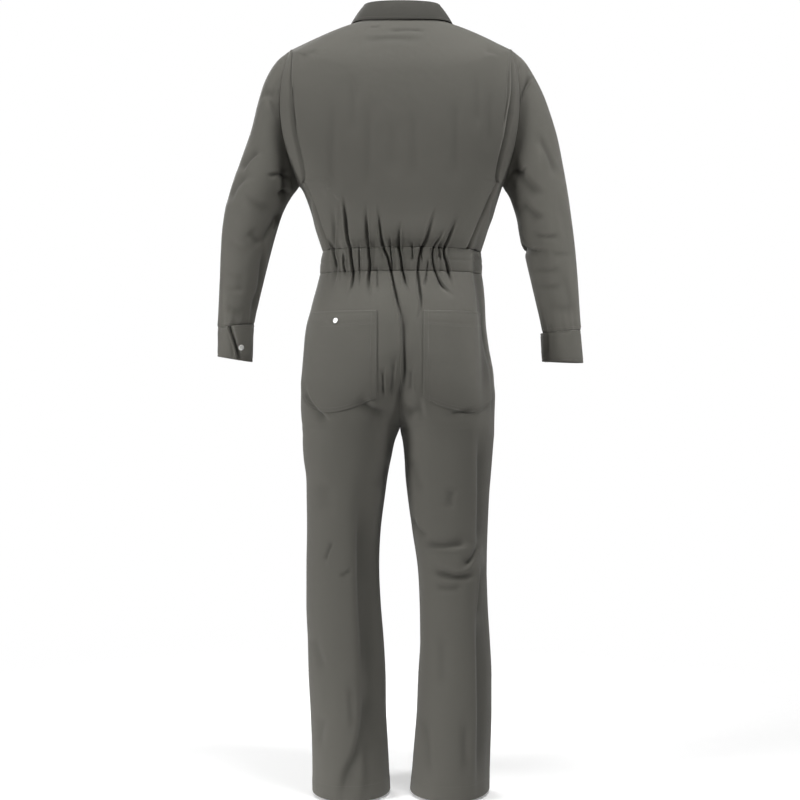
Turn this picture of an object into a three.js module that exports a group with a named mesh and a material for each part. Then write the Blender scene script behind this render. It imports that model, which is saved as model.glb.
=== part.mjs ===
// A boiler suit: one-piece workwear in grey twill, with a stand-and-fall collar, set-in sleeves
// with studded cuffs, a back with two action pleats, an elastic back waist, two hip pockets and
// a front that closes with press studs. It keeps the hollow shape that it has when worn.
//
// Millimetres, +Z up. The front faces -Y and the wearer's left is +X. Heights in the tables are
// above the leg hems. The origin is the middle of the neck's base.
import * as THREE from "three";

// Driving dimensions
const CLOTH = 1.2; // wall of one layer of twill
const COLLAR_CLOTH = 1.6; // two layers with a stiffener between them
const SEAM = 0.6; // gap between two pieces that are sewn together
const LAID = 1.7; // gap under what is sewn flat on a panel, whose facets stand a little proud
const MITRE = 0.9; // extra gap on each side between the inner faces, where a seam turns a corner
const NECK_BASE = 1540;
const WAIST_TOP = 1095;
const WAIST_BOTTOM = 1048;
const UNDERARM = 1230;
const CROTCH = 734;
const SIDE_SEAM_Y = -6;

// Half widths of the body from the waist seam up to the underarm
const BODY_WIDTH = [
  { height: 1095, left: 158, right: 166 },
  { height: 1119, left: 166, right: 174 },
  { height: 1144, left: 174, right: 182 },
  { height: 1168, left: 180, right: 191 },
  { height: 1193, left: 188, right: 198 },
  { height: 1218, left: 198, right: 206 },
  { height: 1230, left: 205, right: 210 },
];

// The middle of the back and of the front, from the waist seam (run 0) by the underarm (run 1)
// and the shoulder point (run 2) to the neck seam (run 3), and how square each level is
const BACK_MIDDLE = [
  { run: 0, y: 96, height: 1095, square: 2.3 },
  { run: 0.15, y: 105, height: 1115, square: 2.3 },
  { run: 0.5, y: 112, height: 1162, square: 2.35 },
  { run: 1, y: 121, height: 1230, square: 2.5 },
  { run: 1.5, y: 129, height: 1345, square: 2.6 },
  { run: 2, y: 121, height: 1440, square: 2.5 },
  { run: 2.4, y: 104, height: 1490, square: 2.3 },
  { run: 2.75, y: 79, height: 1537, square: 2.1 },
  { run: 3, y: 60, height: 1562, square: 2 },
];
const FRONT_MIDDLE = [
  { run: 0, y: -114, height: 1095, square: 2.4 },
  { run: 0.15, y: -120, height: 1115, square: 2.4 },
  { run: 0.5, y: -126, height: 1162, square: 2.4 },
  { run: 1, y: -133, height: 1230, square: 2.5 },
  { run: 1.5, y: -135, height: 1325, square: 2.5 },
  { run: 2, y: -120, height: 1405, square: 2.4 },
  { run: 2.4, y: -104, height: 1442, square: 2.3 },
  { run: 2.75, y: -88, height: 1471, square: 2.1 },
  { run: 3, y: -77, height: 1490, square: 2 },
];
const NECK_POINT = { left: 76, right: 84, y: 0, height: 1566 };
const SHOULDER_CROWN = 4; // rise of the shoulder seam over a straight line
// How the cloth falls away on both sides of the shoulder seam: by how much, and within what reach
const SHOULDER_FALL = { drop: 9, reach: 26, fromRun: 1.6 };

// Sections of each sleeve, from the armhole (0) to the cuff seam (12), by the outer and the inner
// end of each, its half depth front to back, and the y of its middle. The back of the first
// section swells outwards over the arm.
const SLEEVE = {
  left: [
    { at: 0, outerX: 223, outerH: 1509, innerX: 207, innerH: 1230, depth: 66, y: -6, swell: 26 },
    { at: 1, outerX: 252, outerH: 1485, innerX: 210, innerH: 1225, depth: 69, y: -5, swell: 22 },
    { at: 2, outerX: 275, outerH: 1447, innerX: 213, innerH: 1221, depth: 71, y: -4, swell: 15 },
    { at: 3, outerX: 291, outerH: 1398, innerX: 216, innerH: 1217, depth: 73, y: -3, swell: 8 },
    { at: 4, outerX: 304, outerH: 1345, innerX: 220, innerH: 1212, depth: 74, y: -2, swell: 3 },
    { at: 5, outerX: 322, outerH: 1292, innerX: 225, innerH: 1204, depth: 74, y: 0, swell: 0 },
    { at: 6, outerX: 340, outerH: 1242, innerX: 233, innerH: 1190, depth: 72, y: 1, swell: 0 },
    { at: 7, outerX: 355, outerH: 1193, innerX: 243, innerH: 1167, depth: 69, y: 2, swell: 0 },
    { at: 8, outerX: 363, outerH: 1146, innerX: 255, innerH: 1128, depth: 65, y: 2, swell: 0 },
    { at: 9, outerX: 367, outerH: 1099, innerX: 268, innerH: 1081, depth: 60, y: -2, swell: 0 },
    { at: 10, outerX: 370, outerH: 1040, innerX: 281, innerH: 1031, depth: 55, y: -8, swell: 0 },
    { at: 11, outerX: 373, outerH: 988, innerX: 292, innerH: 988, depth: 50, y: -15, swell: 0 },
    { at: 12, outerX: 375, outerH: 939, innerX: 302, innerH: 947, depth: 46, y: -22, swell: 0 },
  ],
  right: [
    { at: 0, outerX: 228, outerH: 1509, innerX: 211, innerH: 1230, depth: 66, y: -6, swell: 20 },
    { at: 1, outerX: 254, outerH: 1486, innerX: 214, innerH: 1225, depth: 69, y: -5, swell: 17 },
    { at: 2, outerX: 275, outerH: 1453, innerX: 216, innerH: 1221, depth: 71, y: -4, swell: 12 },
    { at: 3, outerX: 293, outerH: 1417, innerX: 219, innerH: 1217, depth: 73, y: -3, swell: 7 },
    { at: 4, outerX: 308, outerH: 1376, innerX: 222, innerH: 1212, depth: 74, y: -2, swell: 3 },
    { at: 5, outerX: 322, outerH: 1328, innerX: 226, innerH: 1204, depth: 74, y: 0, swell: 0 },
    { at: 6, outerX: 333, outerH: 1273, innerX: 231, innerH: 1190, depth: 72, y: 1, swell: 0 },
    { at: 7, outerX: 343, outerH: 1216, innerX: 238, innerH: 1167, depth: 69, y: 2, swell: 0 },
    { at: 8, outerX: 351, outerH: 1160, innerX: 247, innerH: 1129, depth: 65, y: 2, swell: 0 },
    { at: 9, outerX: 359, outerH: 1099, innerX: 258, innerH: 1080, depth: 60, y: -2, swell: 0 },
    { at: 10, outerX: 365, outerH: 1038, innerX: 271, innerH: 1027, depth: 55, y: -8, swell: 0 },
    { at: 11, outerX: 369, outerH: 986, innerX: 283, innerH: 978, depth: 50, y: -15, swell: 0 },
    { at: 12, outerX: 372, outerH: 935, innerX: 295, innerH: 929, depth: 45, y: -22, swell: 0 },
  ],
};
const CUFF = {
  left: {
    outerX: 377, outerH: 881, innerX: 308, innerH: 870, depth: 44, y: -30,
    slitDegrees: 106, lean: 30, lapWay: -1,
  },
  right: {
    outerX: 379, outerH: 868, innerX: 299, innerH: 871, depth: 42, y: -30,
    slitDegrees: 215, lean: 0, lapWay: 1,
  },
};
// One end of the cuff over the other, in degrees round the wrist, and the stud from its edge
const CUFF_LAP = 40;
const CUFF_STUD = { degrees: 25, down: 0.64 };

// Outer half width of the trousers, depth to the back and to the front, and how far the two legs
// have parted there: 0 is one round body and 1 is two legs that only touch
const HIPS = [
  { height: 1048, left: 164, right: 168, back: 96, front: -112, partBack: 0, partFront: 0 },
  { height: 1021, left: 171, right: 172, back: 105, front: -116, partBack: 0, partFront: 0 },
  { height: 996, left: 178, right: 174, back: 114, front: -117, partBack: 0.015, partFront: 0 },
  { height: 972, left: 184, right: 175, back: 122, front: -118, partBack: 0.03, partFront: 0 },
  { height: 947, left: 191, right: 176, back: 129, front: -118, partBack: 0.06, partFront: 0.01 },
  { height: 922, left: 195, right: 178, back: 133, front: -118, partBack: 0.1, partFront: 0.02 },
  { height: 898, left: 197, right: 181, back: 136, front: -118, partBack: 0.15, partFront: 0.04 },
  { height: 873, left: 199, right: 185, back: 138, front: -118, partBack: 0.22, partFront: 0.09 },
  { height: 849, left: 201, right: 189, back: 138, front: -117, partBack: 0.31, partFront: 0.18 },
  { height: 824, left: 203, right: 191, back: 137, front: -116, partBack: 0.43, partFront: 0.33 },
  { height: 800, left: 203, right: 193, back: 134, front: -114, partBack: 0.57, partFront: 0.5 },
  { height: 778, left: 203, right: 193, back: 130, front: -112, partBack: 0.72, partFront: 0.68 },
  { height: 760, left: 202, right: 193, back: 126, front: -110, partBack: 0.85, partFront: 0.83 },
  { height: 748, left: 201, right: 193, back: 124, front: -109, partBack: 0.93, partFront: 0.92 },
  { height: 740, left: 200, right: 193, back: 122, front: -108, partBack: 0.975, partFront: 0.972 },
  { height: 734, left: 200, right: 193, back: 121, front: -107, partBack: 1, partFront: 1 },
];
const LEG = {
  left: [
    { height: 734, outer: 200, inner: 0, back: 121, front: -107 },
    { height: 722, outer: 199, inner: 5, back: 118, front: -106 },
    { height: 709, outer: 199, inner: 10, back: 115, front: -105 },
    { height: 672, outer: 197, inner: 18, back: 109, front: -102 },
    { height: 636, outer: 192, inner: 25, back: 104, front: -99 },
    { height: 599, outer: 191, inner: 30, back: 100, front: -97 },
    { height: 525, outer: 190, inner: 39, back: 94, front: -94 },
    { height: 451, outer: 191, inner: 42, back: 90, front: -92 },
    { height: 377, outer: 191, inner: 39, back: 89, front: -89 },
    { height: 303, outer: 188, inner: 33, back: 89, front: -85 },
    { height: 230, outer: 186, inner: 29, back: 90, front: -80 },
    { height: 156, outer: 182, inner: 28, back: 92, front: -74 },
    { height: 82, outer: 179, inner: 24, back: 94, front: -68 },
    { height: 0, outer: 178, inner: 20, back: 96, front: -62 },
  ],
  right: [
    { height: 734, outer: 193, inner: 0, back: 121, front: -107 },
    { height: 722, outer: 193, inner: 2, back: 118, front: -106 },
    { height: 709, outer: 192, inner: 5, back: 115, front: -105 },
    { height: 672, outer: 189, inner: 9, back: 109, front: -102 },
    { height: 636, outer: 186, inner: 11, back: 104, front: -99 },
    { height: 599, outer: 183, inner: 15, back: 100, front: -97 },
    { height: 525, outer: 180, inner: 25, back: 94, front: -94 },
    { height: 451, outer: 178, inner: 36, back: 91, front: -92 },
    { height: 377, outer: 180, inner: 40, back: 89, front: -89 },
    { height: 303, outer: 184, inner: 41, back: 89, front: -85 },
    { height: 230, outer: 187, inner: 37, back: 90, front: -80 },
    { height: 156, outer: 187, inner: 34, back: 92, front: -74 },
    { height: 82, outer: 185, inner: 28, back: 94, front: -68 },
    { height: 0, outer: 182, inner: 21, back: 96, front: -62 },
  ],
};
const LEG_SQUARE = 2.15;
const HEM_HEEL_DROP = 6; // the leg hem hangs lower at the back

// The action pleats: where the fold's edge lies, as a share of the way from the middle of the back
// to its side edge, and how far the under layer is pulled in
const PLEAT_LINE = [
  { run: 0, left: 0.73, right: 0.66, openLeft: 1, openRight: 7 },
  { run: 0.5, left: 0.76, right: 0.71, openLeft: 1, openRight: 6 },
  { run: 1, left: 0.78, right: 0.76, openLeft: 1, openRight: 4 },
  { run: 1.5, left: 0.84, right: 0.87, openLeft: 0.5, openRight: 1 },
  { run: 1.8, left: 0.88, right: 0.91, openLeft: 0, openRight: 0 },
  { run: 3, left: 0.9, right: 0.92, openLeft: 0, openRight: 0 },
];
const PLEAT = { depth: 18, leastDepth: 0.8, layerGap: 0.8, spread: 3, easeOut: 46 };
const PLEAT_CLOSES = [
  { run: 0, depth: 1, step: 1 },
  { run: 1.4, depth: 1, step: 1 },
  { run: 1.6, depth: 0, step: 1 },
  { run: 1.7, depth: 0, step: 0.6 },
  { run: 1.82, depth: 0, step: 0 },
  { run: 3, depth: 0, step: 0 },
];

// The gathers of the elastic casing: troughs across the back of the waist
const GATHERS = [
  { x: 146, width: 6, depth: 1.8 },
  { x: 133, width: 5, depth: 3.4 },
  { x: 117, width: 5, depth: 2.8 },
  { x: 100, width: 6, depth: 3.8 },
  { x: 80, width: 6, depth: 2.6 },
  { x: 60, width: 5, depth: 3.8 },
  { x: 43, width: 6, depth: 2.6 },
  { x: 25, width: 5, depth: 3.8 },
  { x: 10, width: 5, depth: 2.4 },
  { x: -5, width: 5, depth: 3.8 },
  { x: -20, width: 5, depth: 2.6 },
  { x: -36, width: 5, depth: 3.6 },
  { x: -52, width: 5, depth: 3.2 },
  { x: -68, width: 5, depth: 3.8 },
  { x: -84, width: 6, depth: 2.4 },
  { x: -99, width: 5, depth: 3.4 },
  { x: -116, width: 7, depth: 1.6 },
];

// How the back stands out above the waist seam, least at the sides, and the folds that leave the
// back waist seams: x at the seam, x at the far end, how far they reach from
// the seam, half width, and depth
const BLOUSE = { rise: 4, within: 20, until: 120, plainX: 150, fullX: 80 };
const BLOUSE_FOLDS = [
  { x: 133, farX: 140, reach: 140, width: 12, depth: 6 },
  { x: 100, farX: 114, reach: 165, width: 12, depth: 8 },
  { x: 60, farX: 66, reach: 95, width: 11, depth: 9 },
  { x: 25, farX: 40, reach: 90, width: 11, depth: 8 },
  { x: -5, farX: 0, reach: 62, width: 9, depth: 8 },
  { x: -36, farX: -66, reach: 80, width: 10, depth: 8 },
  { x: -68, farX: -92, reach: 60, width: 9, depth: 6 },
  { x: -99, farX: -120, reach: 120, width: 12, depth: 8 },
];
const SEAT_FOLDS = [
  { x: 133, farX: 142, reach: 62, width: 12, depth: 4 },
  { x: 91, farX: 94, reach: 78, width: 12, depth: 7 },
  { x: 60, farX: 60, reach: 66, width: 11, depth: 7 },
  { x: 22, farX: 4, reach: 120, width: 11, depth: 8 },
  { x: -12, farX: -8, reach: 66, width: 8, depth: 7 },
  { x: -38, farX: -46, reach: 90, width: 11, depth: 7 },
  { x: -68, farX: -94, reach: 46, width: 11, depth: 5 },
  { x: -108, farX: -130, reach: 60, width: 13, depth: 4 },
];
const FRONT_WAIST_FOLDS = [
  { x: 132, farX: 138, reach: 70, width: 14, depth: 4 },
  { x: 92, farX: 96, reach: 105, width: 16, depth: 5 },
  { x: 54, farX: 60, reach: 75, width: 13, depth: 4 },
  { x: -50, farX: -52, reach: 88, width: 14, depth: 4 },
  { x: -94, farX: -104, reach: 110, width: 16, depth: 5 },
  { x: -136, farX: -142, reach: 64, width: 13, depth: 4 },
];

// Larger creases, each a soft trough along a line seen from the back or the front
const CREASES = [
  // left sleeve, back: the pull lines from the underarm and the bend of the elbow
  { part: "sleeveLeft", face: 1, x: 222, h: 1262, toX: 268, toH: 1300, width: 13, depth: 8 },
  { part: "sleeveLeft", face: 1, x: 224, h: 1228, toX: 282, toH: 1236, width: 12, depth: 9 },
  { part: "sleeveLeft", face: 1, x: 318, h: 1250, toX: 352, toH: 1200, width: 16, depth: 4 },
  { part: "sleeveLeft", face: 1, x: 270, h: 1098, toX: 330, toH: 1122, width: 17, depth: 7 },
  { part: "sleeveLeft", face: 1, x: 284, h: 1102, toX: 316, toH: 952, width: 9, depth: 5 },
  { part: "sleeveLeft", face: 1, x: 368, h: 1000, toX: 318, toH: 1010, width: 18, depth: 4 },
  { part: "sleeveLeft", face: -1, x: 228, h: 1240, toX: 300, toH: 1290, width: 14, depth: 7 },
  { part: "sleeveLeft", face: -1, x: 262, h: 1112, toX: 338, toH: 1140, width: 16, depth: 8 },
  { part: "sleeveLeft", face: -1, x: 276, h: 1060, toX: 346, toH: 1082, width: 15, depth: 6 },
  // right sleeve, back
  { part: "sleeveRight", face: 1, x: -232, h: 1370, toX: -276, toH: 1440, width: 9, depth: 6 },
  { part: "sleeveRight", face: 1, x: -230, h: 1262, toX: -286, toH: 1160, width: 13, depth: 7 },
  { part: "sleeveRight", face: 1, x: -246, h: 1120, toX: -296, toH: 1062, width: 12, depth: 10 },
  { part: "sleeveRight", face: 1, x: -286, h: 1086, toX: -318, toH: 1088, width: 9, depth: 4 },
  { part: "sleeveRight", face: 1, x: -284, h: 1032, toX: -312, toH: 1024, width: 11, depth: 4 },
  { part: "sleeveRight", face: -1, x: -236, h: 1236, toX: -300, toH: 1290, width: 14, depth: 7 },
  { part: "sleeveRight", face: -1, x: -256, h: 1110, toX: -330, toH: 1140, width: 16, depth: 8 },
  { part: "sleeveRight", face: -1, x: -268, h: 1052, toX: -338, toH: 1076, width: 15, depth: 6 },
  // legs, back: under the seat, behind the knees and above the hems
  { part: "legLeft", face: 1, x: 186, h: 752, toX: 140, toH: 714, width: 11, depth: 5 },
  { part: "legLeft", face: 1, x: 14, h: 738, toX: 70, toH: 764, width: 12, depth: 5 },
  { part: "legLeft", face: 1, x: 58, h: 470, toX: 66, toH: 250, width: 24, depth: 8 },
  { part: "legLeft", face: 1, x: 60, h: 220, toX: 96, toH: 60, width: 18, depth: 6 },
  { part: "legLeft", face: 1, x: 166, h: 560, toX: 128, toH: 430, width: 22, depth: 4 },
  { part: "legRight", face: 1, x: -8, h: 738, toX: -60, toH: 766, width: 12, depth: 4 },
  { part: "legRight", face: 1, x: -44, h: 452, toX: -130, toH: 448, width: 19, depth: 5 },
  { part: "legRight", face: 1, x: -66, h: 372, toX: -150, toH: 366, width: 15, depth: 7 },
  { part: "legRight", face: 1, x: -150, h: 560, toX: -146, toH: 420, width: 17, depth: 5 },
  { part: "legRight", face: 1, x: -152, h: 330, toX: -150, toH: 30, width: 20, depth: 7 },
  // legs, front: the knees and the break over the hems
  { part: "legLeft", face: -1, x: 30, h: 690, toX: 120, toH: 780, width: 18, depth: 6 },
  { part: "legLeft", face: -1, x: 52, h: 452, toX: 132, toH: 420, width: 18, depth: 6 },
  { part: "legLeft", face: -1, x: 176, h: 400, toX: 100, toH: 366, width: 17, depth: 6 },
  { part: "legLeft", face: -1, x: 44, h: 150, toX: 128, toH: 110, width: 18, depth: 6 },
  { part: "legRight", face: -1, x: -24, h: 690, toX: -112, toH: 784, width: 18, depth: 6 },
  { part: "legRight", face: -1, x: -48, h: 440, toX: -128, toH: 408, width: 18, depth: 6 },
  { part: "legRight", face: -1, x: -170, h: 396, toX: -96, toH: 352, width: 17, depth: 6 },
  { part: "legRight", face: -1, x: -52, h: 140, toX: -130, toH: 104, width: 18, depth: 6 },
];

const POCKET = {
  innerX: 45, // from the middle of the seat to the near edge
  outerDegrees: 16, // where the far edge lies round the leg, from the side seam
  top: 968,
  side: 172, // length of the straight side edges
  point: 30, // how much lower the middle of the rounded bottom is
};
const PLACKET = { left: 21, right: -21, stand: 2.1 };
const POCKET_STUD = { across: 0.02, down: 0.1 };
const STUD = { radius: 5.8, height: 2.6, rim: 0.9, gap: 0.6 };
const FRONT_STUD_HEIGHTS = [1462, 1372, 1282, 1192, 1112, 1032, 956, 884];

const TWILL = new THREE.MeshStandardMaterial({ color: 0x5c5b56, roughness: 0.85, metalness: 0 });
const TWILL_TRIM = new THREE.MeshStandardMaterial({ color: 0x56554f, roughness: 0.85, metalness: 0 });
const NICKEL = new THREE.MeshStandardMaterial({ color: 0xb9bab8, roughness: 0.3, metalness: 1 });

const SIDES = [
  { name: "left", sign: 1, cap: "Left" },
  { name: "right", sign: -1, cap: "Right" },
];
const BACK = { name: "back", sign: 1 };
const FRONT = { name: "front", sign: -1 };

const mix = (a, b, share) => a + (b - a) * share;
const clamp01 = (x) => Math.min(1, Math.max(0, x));
const smooth = (x) => clamp01(x) ** 2 * (3 - 2 * clamp01(x));
const range = (count) => Array.from({ length: count }, (_, i) => i);
const steps = (from, to, count) => range(count + 1).map((i) => mix(from, to, i / count));

// A smooth line through one named column of a table, read at any value of its key column
function column(table, key, name) {
  const rows = [...table].sort((a, b) => a[key] - b[key]);
  const xs = rows.map((row) => row[key]);
  const ys = rows.map((row) => row[name]);
  const chord = range(xs.length - 1).map((i) => (ys[i + 1] - ys[i]) / (xs[i + 1] - xs[i]));
  const slope = xs.map((_, i) => {
    if (i === 0) return chord[0];
    if (i === xs.length - 1) return chord[i - 1];
    return chord[i - 1] * chord[i] <= 0 ? 0 : (chord[i - 1] + chord[i]) / 2;
  });
  return (x) => {
    const at = Math.min(Math.max(x, xs[0]), xs[xs.length - 1]);
    let i = 0;
    while (i < xs.length - 2 && at > xs[i + 1]) i += 1;
    const width = xs[i + 1] - xs[i];
    const s = (at - xs[i]) / width;
    const start = (1 + 2 * s) * (1 - s) ** 2 * ys[i] + s * (1 - s) ** 2 * width * slope[i];
    const end = s * s * (3 - 2 * s) * ys[i + 1] + s * s * (s - 1) * width * slope[i + 1];
    return start + end;
  };
}

// All named columns of a table at once: read(key value) gives an object of values
function reader(table, key) {
  const names = Object.keys(table[0]).filter((name) => name !== key);
  const lines = names.map((name) => [name, column(table, key, name)]);
  return (x) => Object.fromEntries(lines.map(([name, line]) => [name, line(x)]));
}

// The way round a curve by its length: share 0 is its start and share 1 its end
function byLength(pointAt, from, to, samples = 48) {
  const places = steps(from, to, samples);
  const points = places.map(pointAt);
  const lengths = [0];
  for (const i of range(samples)) lengths.push(lengths[i] + points[i].distanceTo(points[i + 1]));
  return (share) => {
    const wanted = share * lengths[samples];
    let i = 0;
    while (i < samples - 1 && lengths[i + 1] < wanted) i += 1;
    const part = (wanted - lengths[i]) / (lengths[i + 1] - lengths[i]);
    return pointAt(mix(places[i], places[i + 1], part));
  };
}

// The bodice

const bodyWidth = reader(BODY_WIDTH, "height");
const middles = { back: reader(BACK_MIDDLE, "run"), front: reader(FRONT_MIDDLE, "run") };
const sleeveAt = { left: reader(SLEEVE.left, "at"), right: reader(SLEEVE.right, "at") };

function sectionPoint(side, s, angle) {
  const across = Math.cos(angle) / 2;
  const swell = s.swell * Math.sin(angle) ** 2 * (Math.sin(angle) > 0 ? 1 : 0.5);
  return new THREE.Vector3(
    side.sign * ((s.outerX + s.innerX) / 2 + (s.outerX - s.innerX) * across + swell),
    s.y + s.depth * Math.sin(angle),
    (s.outerH + s.innerH) / 2 + (s.outerH - s.innerH) * across,
  );
}

// Where a level of the bodice ends: the side seam, then the armhole, then the shoulder seam
function bodiceEdge(side, face, run) {
  const armhole = sleeveAt[side.name](0);
  if (run <= 1) {
    const height = mix(WAIST_TOP, UNDERARM, run);
    return { x: bodyWidth(height)[side.name], y: SIDE_SEAM_Y, height };
  }
  if (run <= 2) {
    const p = sectionPoint(side, armhole, face.sign * Math.PI * (2 - run));
    return { x: Math.abs(p.x), y: p.y, height: p.z };
  }
  const share = run - 2;
  const crown = SHOULDER_CROWN * Math.sin(Math.PI * share);
  return {
    x: mix(armhole.outerX, NECK_POINT[side.name], share),
    y: mix(armhole.y, NECK_POINT.y, share),
    height: mix(armhole.outerH, NECK_POINT.height, share) + crown,
  };
}

// One level of the bodice, from the middle (share 0) to its edge (share 1)
function bodiceLevel(side, face, run) {
  const middle = middles[face.name](run);
  const edge = bodiceEdge(side, face, run);
  const seamY = run < 2 ? SIDE_SEAM_Y : edge.y;
  const depth = Math.abs(middle.y - seamY);
  const n = middle.square;
  const reached = Math.abs(edge.y - seamY) / depth;
  const halfWidth = edge.x / (1 - reached ** n) ** (1 / n);
  const { drop, fromRun } = SHOULDER_FALL;
  const falls = drop * smooth((run - fromRun) / (2 - fromRun)) * (1 - smooth((run - 2) * 1.25));
  const pointAt = (angle) => {
    const x = Math.min(halfWidth * Math.cos(angle) ** (2 / n), edge.x);
    const y = seamY + face.sign * depth * Math.sin(angle) ** (2 / n);
    const out = (x / edge.x) ** 2;
    const fall = falls * out * (1 - Math.exp(-(((y - edge.y) / SHOULDER_FALL.reach) ** 2)));
    return new THREE.Vector3(side.sign * x, y, mix(middle.height, edge.height, out) - fall);
  };
  return byLength(pointAt, Math.PI / 2, Math.asin(Math.min(1, reached ** (n / 2))));
}

const levelCache = new Map();
function bodicePoint(side, face, run, share) {
  const key = `${side.name}${face.name}${run.toFixed(5)}`;
  if (!levelCache.has(key)) levelCache.set(key, bodiceLevel(side, face, run));
  return levelCache.get(key)(share);
}

// The trousers

const hipsAt = reader(HIPS, "height");
const legAt = { left: reader(LEG.left, "height"), right: reader(LEG.right, "height") };

// The oval of one leg at a height, cut off where it meets the other leg
function legOval(side, face, height) {
  const hips = hipsAt(height);
  const leg = legAt[side.name](height);
  const above = height >= CROTCH;
  const part = above ? hips[face === BACK ? "partBack" : "partFront"] : 1;
  const outer = above ? hips[side.name] : leg.outer;
  const halfWidth = above ? outer / (1 + part) : (leg.outer - leg.inner) / 2;
  const edgeY = above ? hips[face.name] : leg[face.name];
  const seamY = mix(SIDE_SEAM_Y, 16, smooth((WAIST_BOTTOM - height) / WAIST_BOTTOM));
  const n = LEG_SQUARE;
  return {
    middleX: outer - halfWidth,
    halfWidth,
    depth: edgeY - seamY,
    seamY,
    end: part >= 1 ? Math.PI : Math.acos(-(part ** (n / 2))),
  };
}

function legOvalPoint(side, oval, angle, height) {
  const power = 2 / LEG_SQUARE;
  const across = Math.sign(Math.cos(angle)) * Math.abs(Math.cos(angle)) ** power;
  return new THREE.Vector3(
    side.sign * (oval.middleX + oval.halfWidth * across),
    oval.seamY + oval.depth * Math.abs(Math.sin(angle)) ** power,
    height,
  );
}

// Share 0 is the side seam, and share 1 the seat or fly seam and, lower down, the inner leg seam
function legPoint(side, face, height, share) {
  const key = `leg${side.name}${face.name}${height.toFixed(4)}`;
  if (!levelCache.has(key)) {
    const oval = legOval(side, face, height);
    const pointAt = (angle) => legOvalPoint(side, oval, angle, height);
    levelCache.set(key, byLength(pointAt, 0, oval.end));
  }
  const point = levelCache.get(key)(share);
  const heel = HEM_HEEL_DROP * smooth(1 - height / 300) * ((point.y - 16) / 80);
  point.z -= heel;
  return point;
}

// Folds and creases: how far a point of a panel lies out of its smooth form

const clearOfPlacket = (x) => smooth((Math.abs(x) - 24) / 20);

function seamFolds(folds, x, away) {
  return folds.reduce((sum, fold) => {
    const left = 1 - away / fold.reach;
    if (left <= 0) return sum;
    const middle = mix(fold.x, fold.farX, away / fold.reach);
    return sum - fold.depth * left ** 1.2 * Math.exp(-(((x - middle) / fold.width) ** 2));
  }, 0);
}

function creases(part, point, normal) {
  return CREASES.filter((c) => c.part === part).reduce((sum, c) => {
    const facing = smooth(normal.y * c.face * 2.5 + 0.25);
    const length = Math.hypot(c.toX - c.x, c.toH - c.h);
    const ux = (c.toX - c.x) / length;
    const uh = (c.toH - c.h) / length;
    const along = ((point.x - c.x) * ux + (point.z - c.h) * uh) / length;
    const off = (point.x - c.x) * uh - (point.z - c.h) * ux;
    const taper = smooth((along + 0.3) / 0.45) * smooth((1.25 - along) / 0.5);
    return sum - facing * taper * c.depth * Math.exp(-((off / c.width) ** 2));
  }, 0);
}

// Walls: both faces of a piece of cloth, as grids of points, made one closed solid

// A surface is { at, centre, step }: its point at (u, v), the point that its faces turn away from,
// and a small step of v
function normalOf(surface, u, v) {
  const { at, centre, step } = surface;
  const du = at(Math.min(u + 1e-3, 1), v).sub(at(Math.max(u - 1e-3, 0), v));
  const dv = at(u, v + step).sub(at(u, v - step));
  const normal = du.cross(dv).normalize();
  return normal.dot(at(u, v).sub(centre(u, v))) < 0 ? normal.negate() : normal;
}

// Moves the ends of a grid's rows or columns inwards along the cloth, which leaves the seam's gap
function trimmed(grid, gap, ends) {
  const last = grid.length - 1;
  const moved = grid.map((row) => row.map((p) => p.clone()));
  const pull = (p, towards) => p.add(towards.clone().sub(p).setLength(gap));
  if (ends.rows)
    for (const i of range(last + 1)) {
      const row = moved[i];
      pull(row[0], grid[i][1]);
      pull(row[row.length - 1], grid[i][row.length - 2]);
    }
  if (ends.first) moved[0].forEach((p, j) => pull(p, grid[1][j]));
  if (ends.last) moved[last].forEach((p, j) => pull(p, grid[last - 1][j]));
  return moved;
}

function solid(outer, inner, closed) {
  const rows = outer.length;
  const columns = outer[0].length;
  const points = [...outer.flat(), ...inner.flat()];
  const out = (i, j) => i * columns + (j % columns);
  const inn = (i, j) => rows * columns + out(i, j);
  const faces = [];
  const quad = (a, b, c, d) => faces.push([a, b, c], [a, c, d]);
  const wide = closed ? columns : columns - 1;
  for (const i of range(rows - 1))
    for (const j of range(wide)) {
      quad(out(i, j), out(i, j + 1), out(i + 1, j + 1), out(i + 1, j));
      quad(inn(i, j), inn(i + 1, j), inn(i + 1, j + 1), inn(i, j + 1));
    }
  for (const j of range(wide)) {
    quad(out(0, j + 1), out(0, j), inn(0, j), inn(0, j + 1));
    quad(out(rows - 1, j), out(rows - 1, j + 1), inn(rows - 1, j + 1), inn(rows - 1, j));
  }
  if (!closed)
    for (const i of range(rows - 1)) {
      quad(out(i, 0), out(i + 1, 0), inn(i + 1, 0), inn(i, 0));
      quad(out(i + 1, wide), out(i, wide), inn(i, wide), inn(i + 1, wide));
    }
  const volume = faces.reduce((sum, [a, b, c]) => {
    const cross = points[b].clone().cross(points[c]);
    return sum + points[a].dot(cross) / 6;
  }, 0);
  const wound = volume < 0 ? faces.map(([a, b, c]) => [a, c, b]) : faces;
  const geometry = new THREE.BufferGeometry();
  geometry.setAttribute(
    "position",
    new THREE.Float32BufferAttribute(points.flatMap((p) => [p.x, p.y, p.z]), 3),
  );
  geometry.setIndex(wound.flat());
  geometry.computeVertexNormals();
  return geometry;
}

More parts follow.
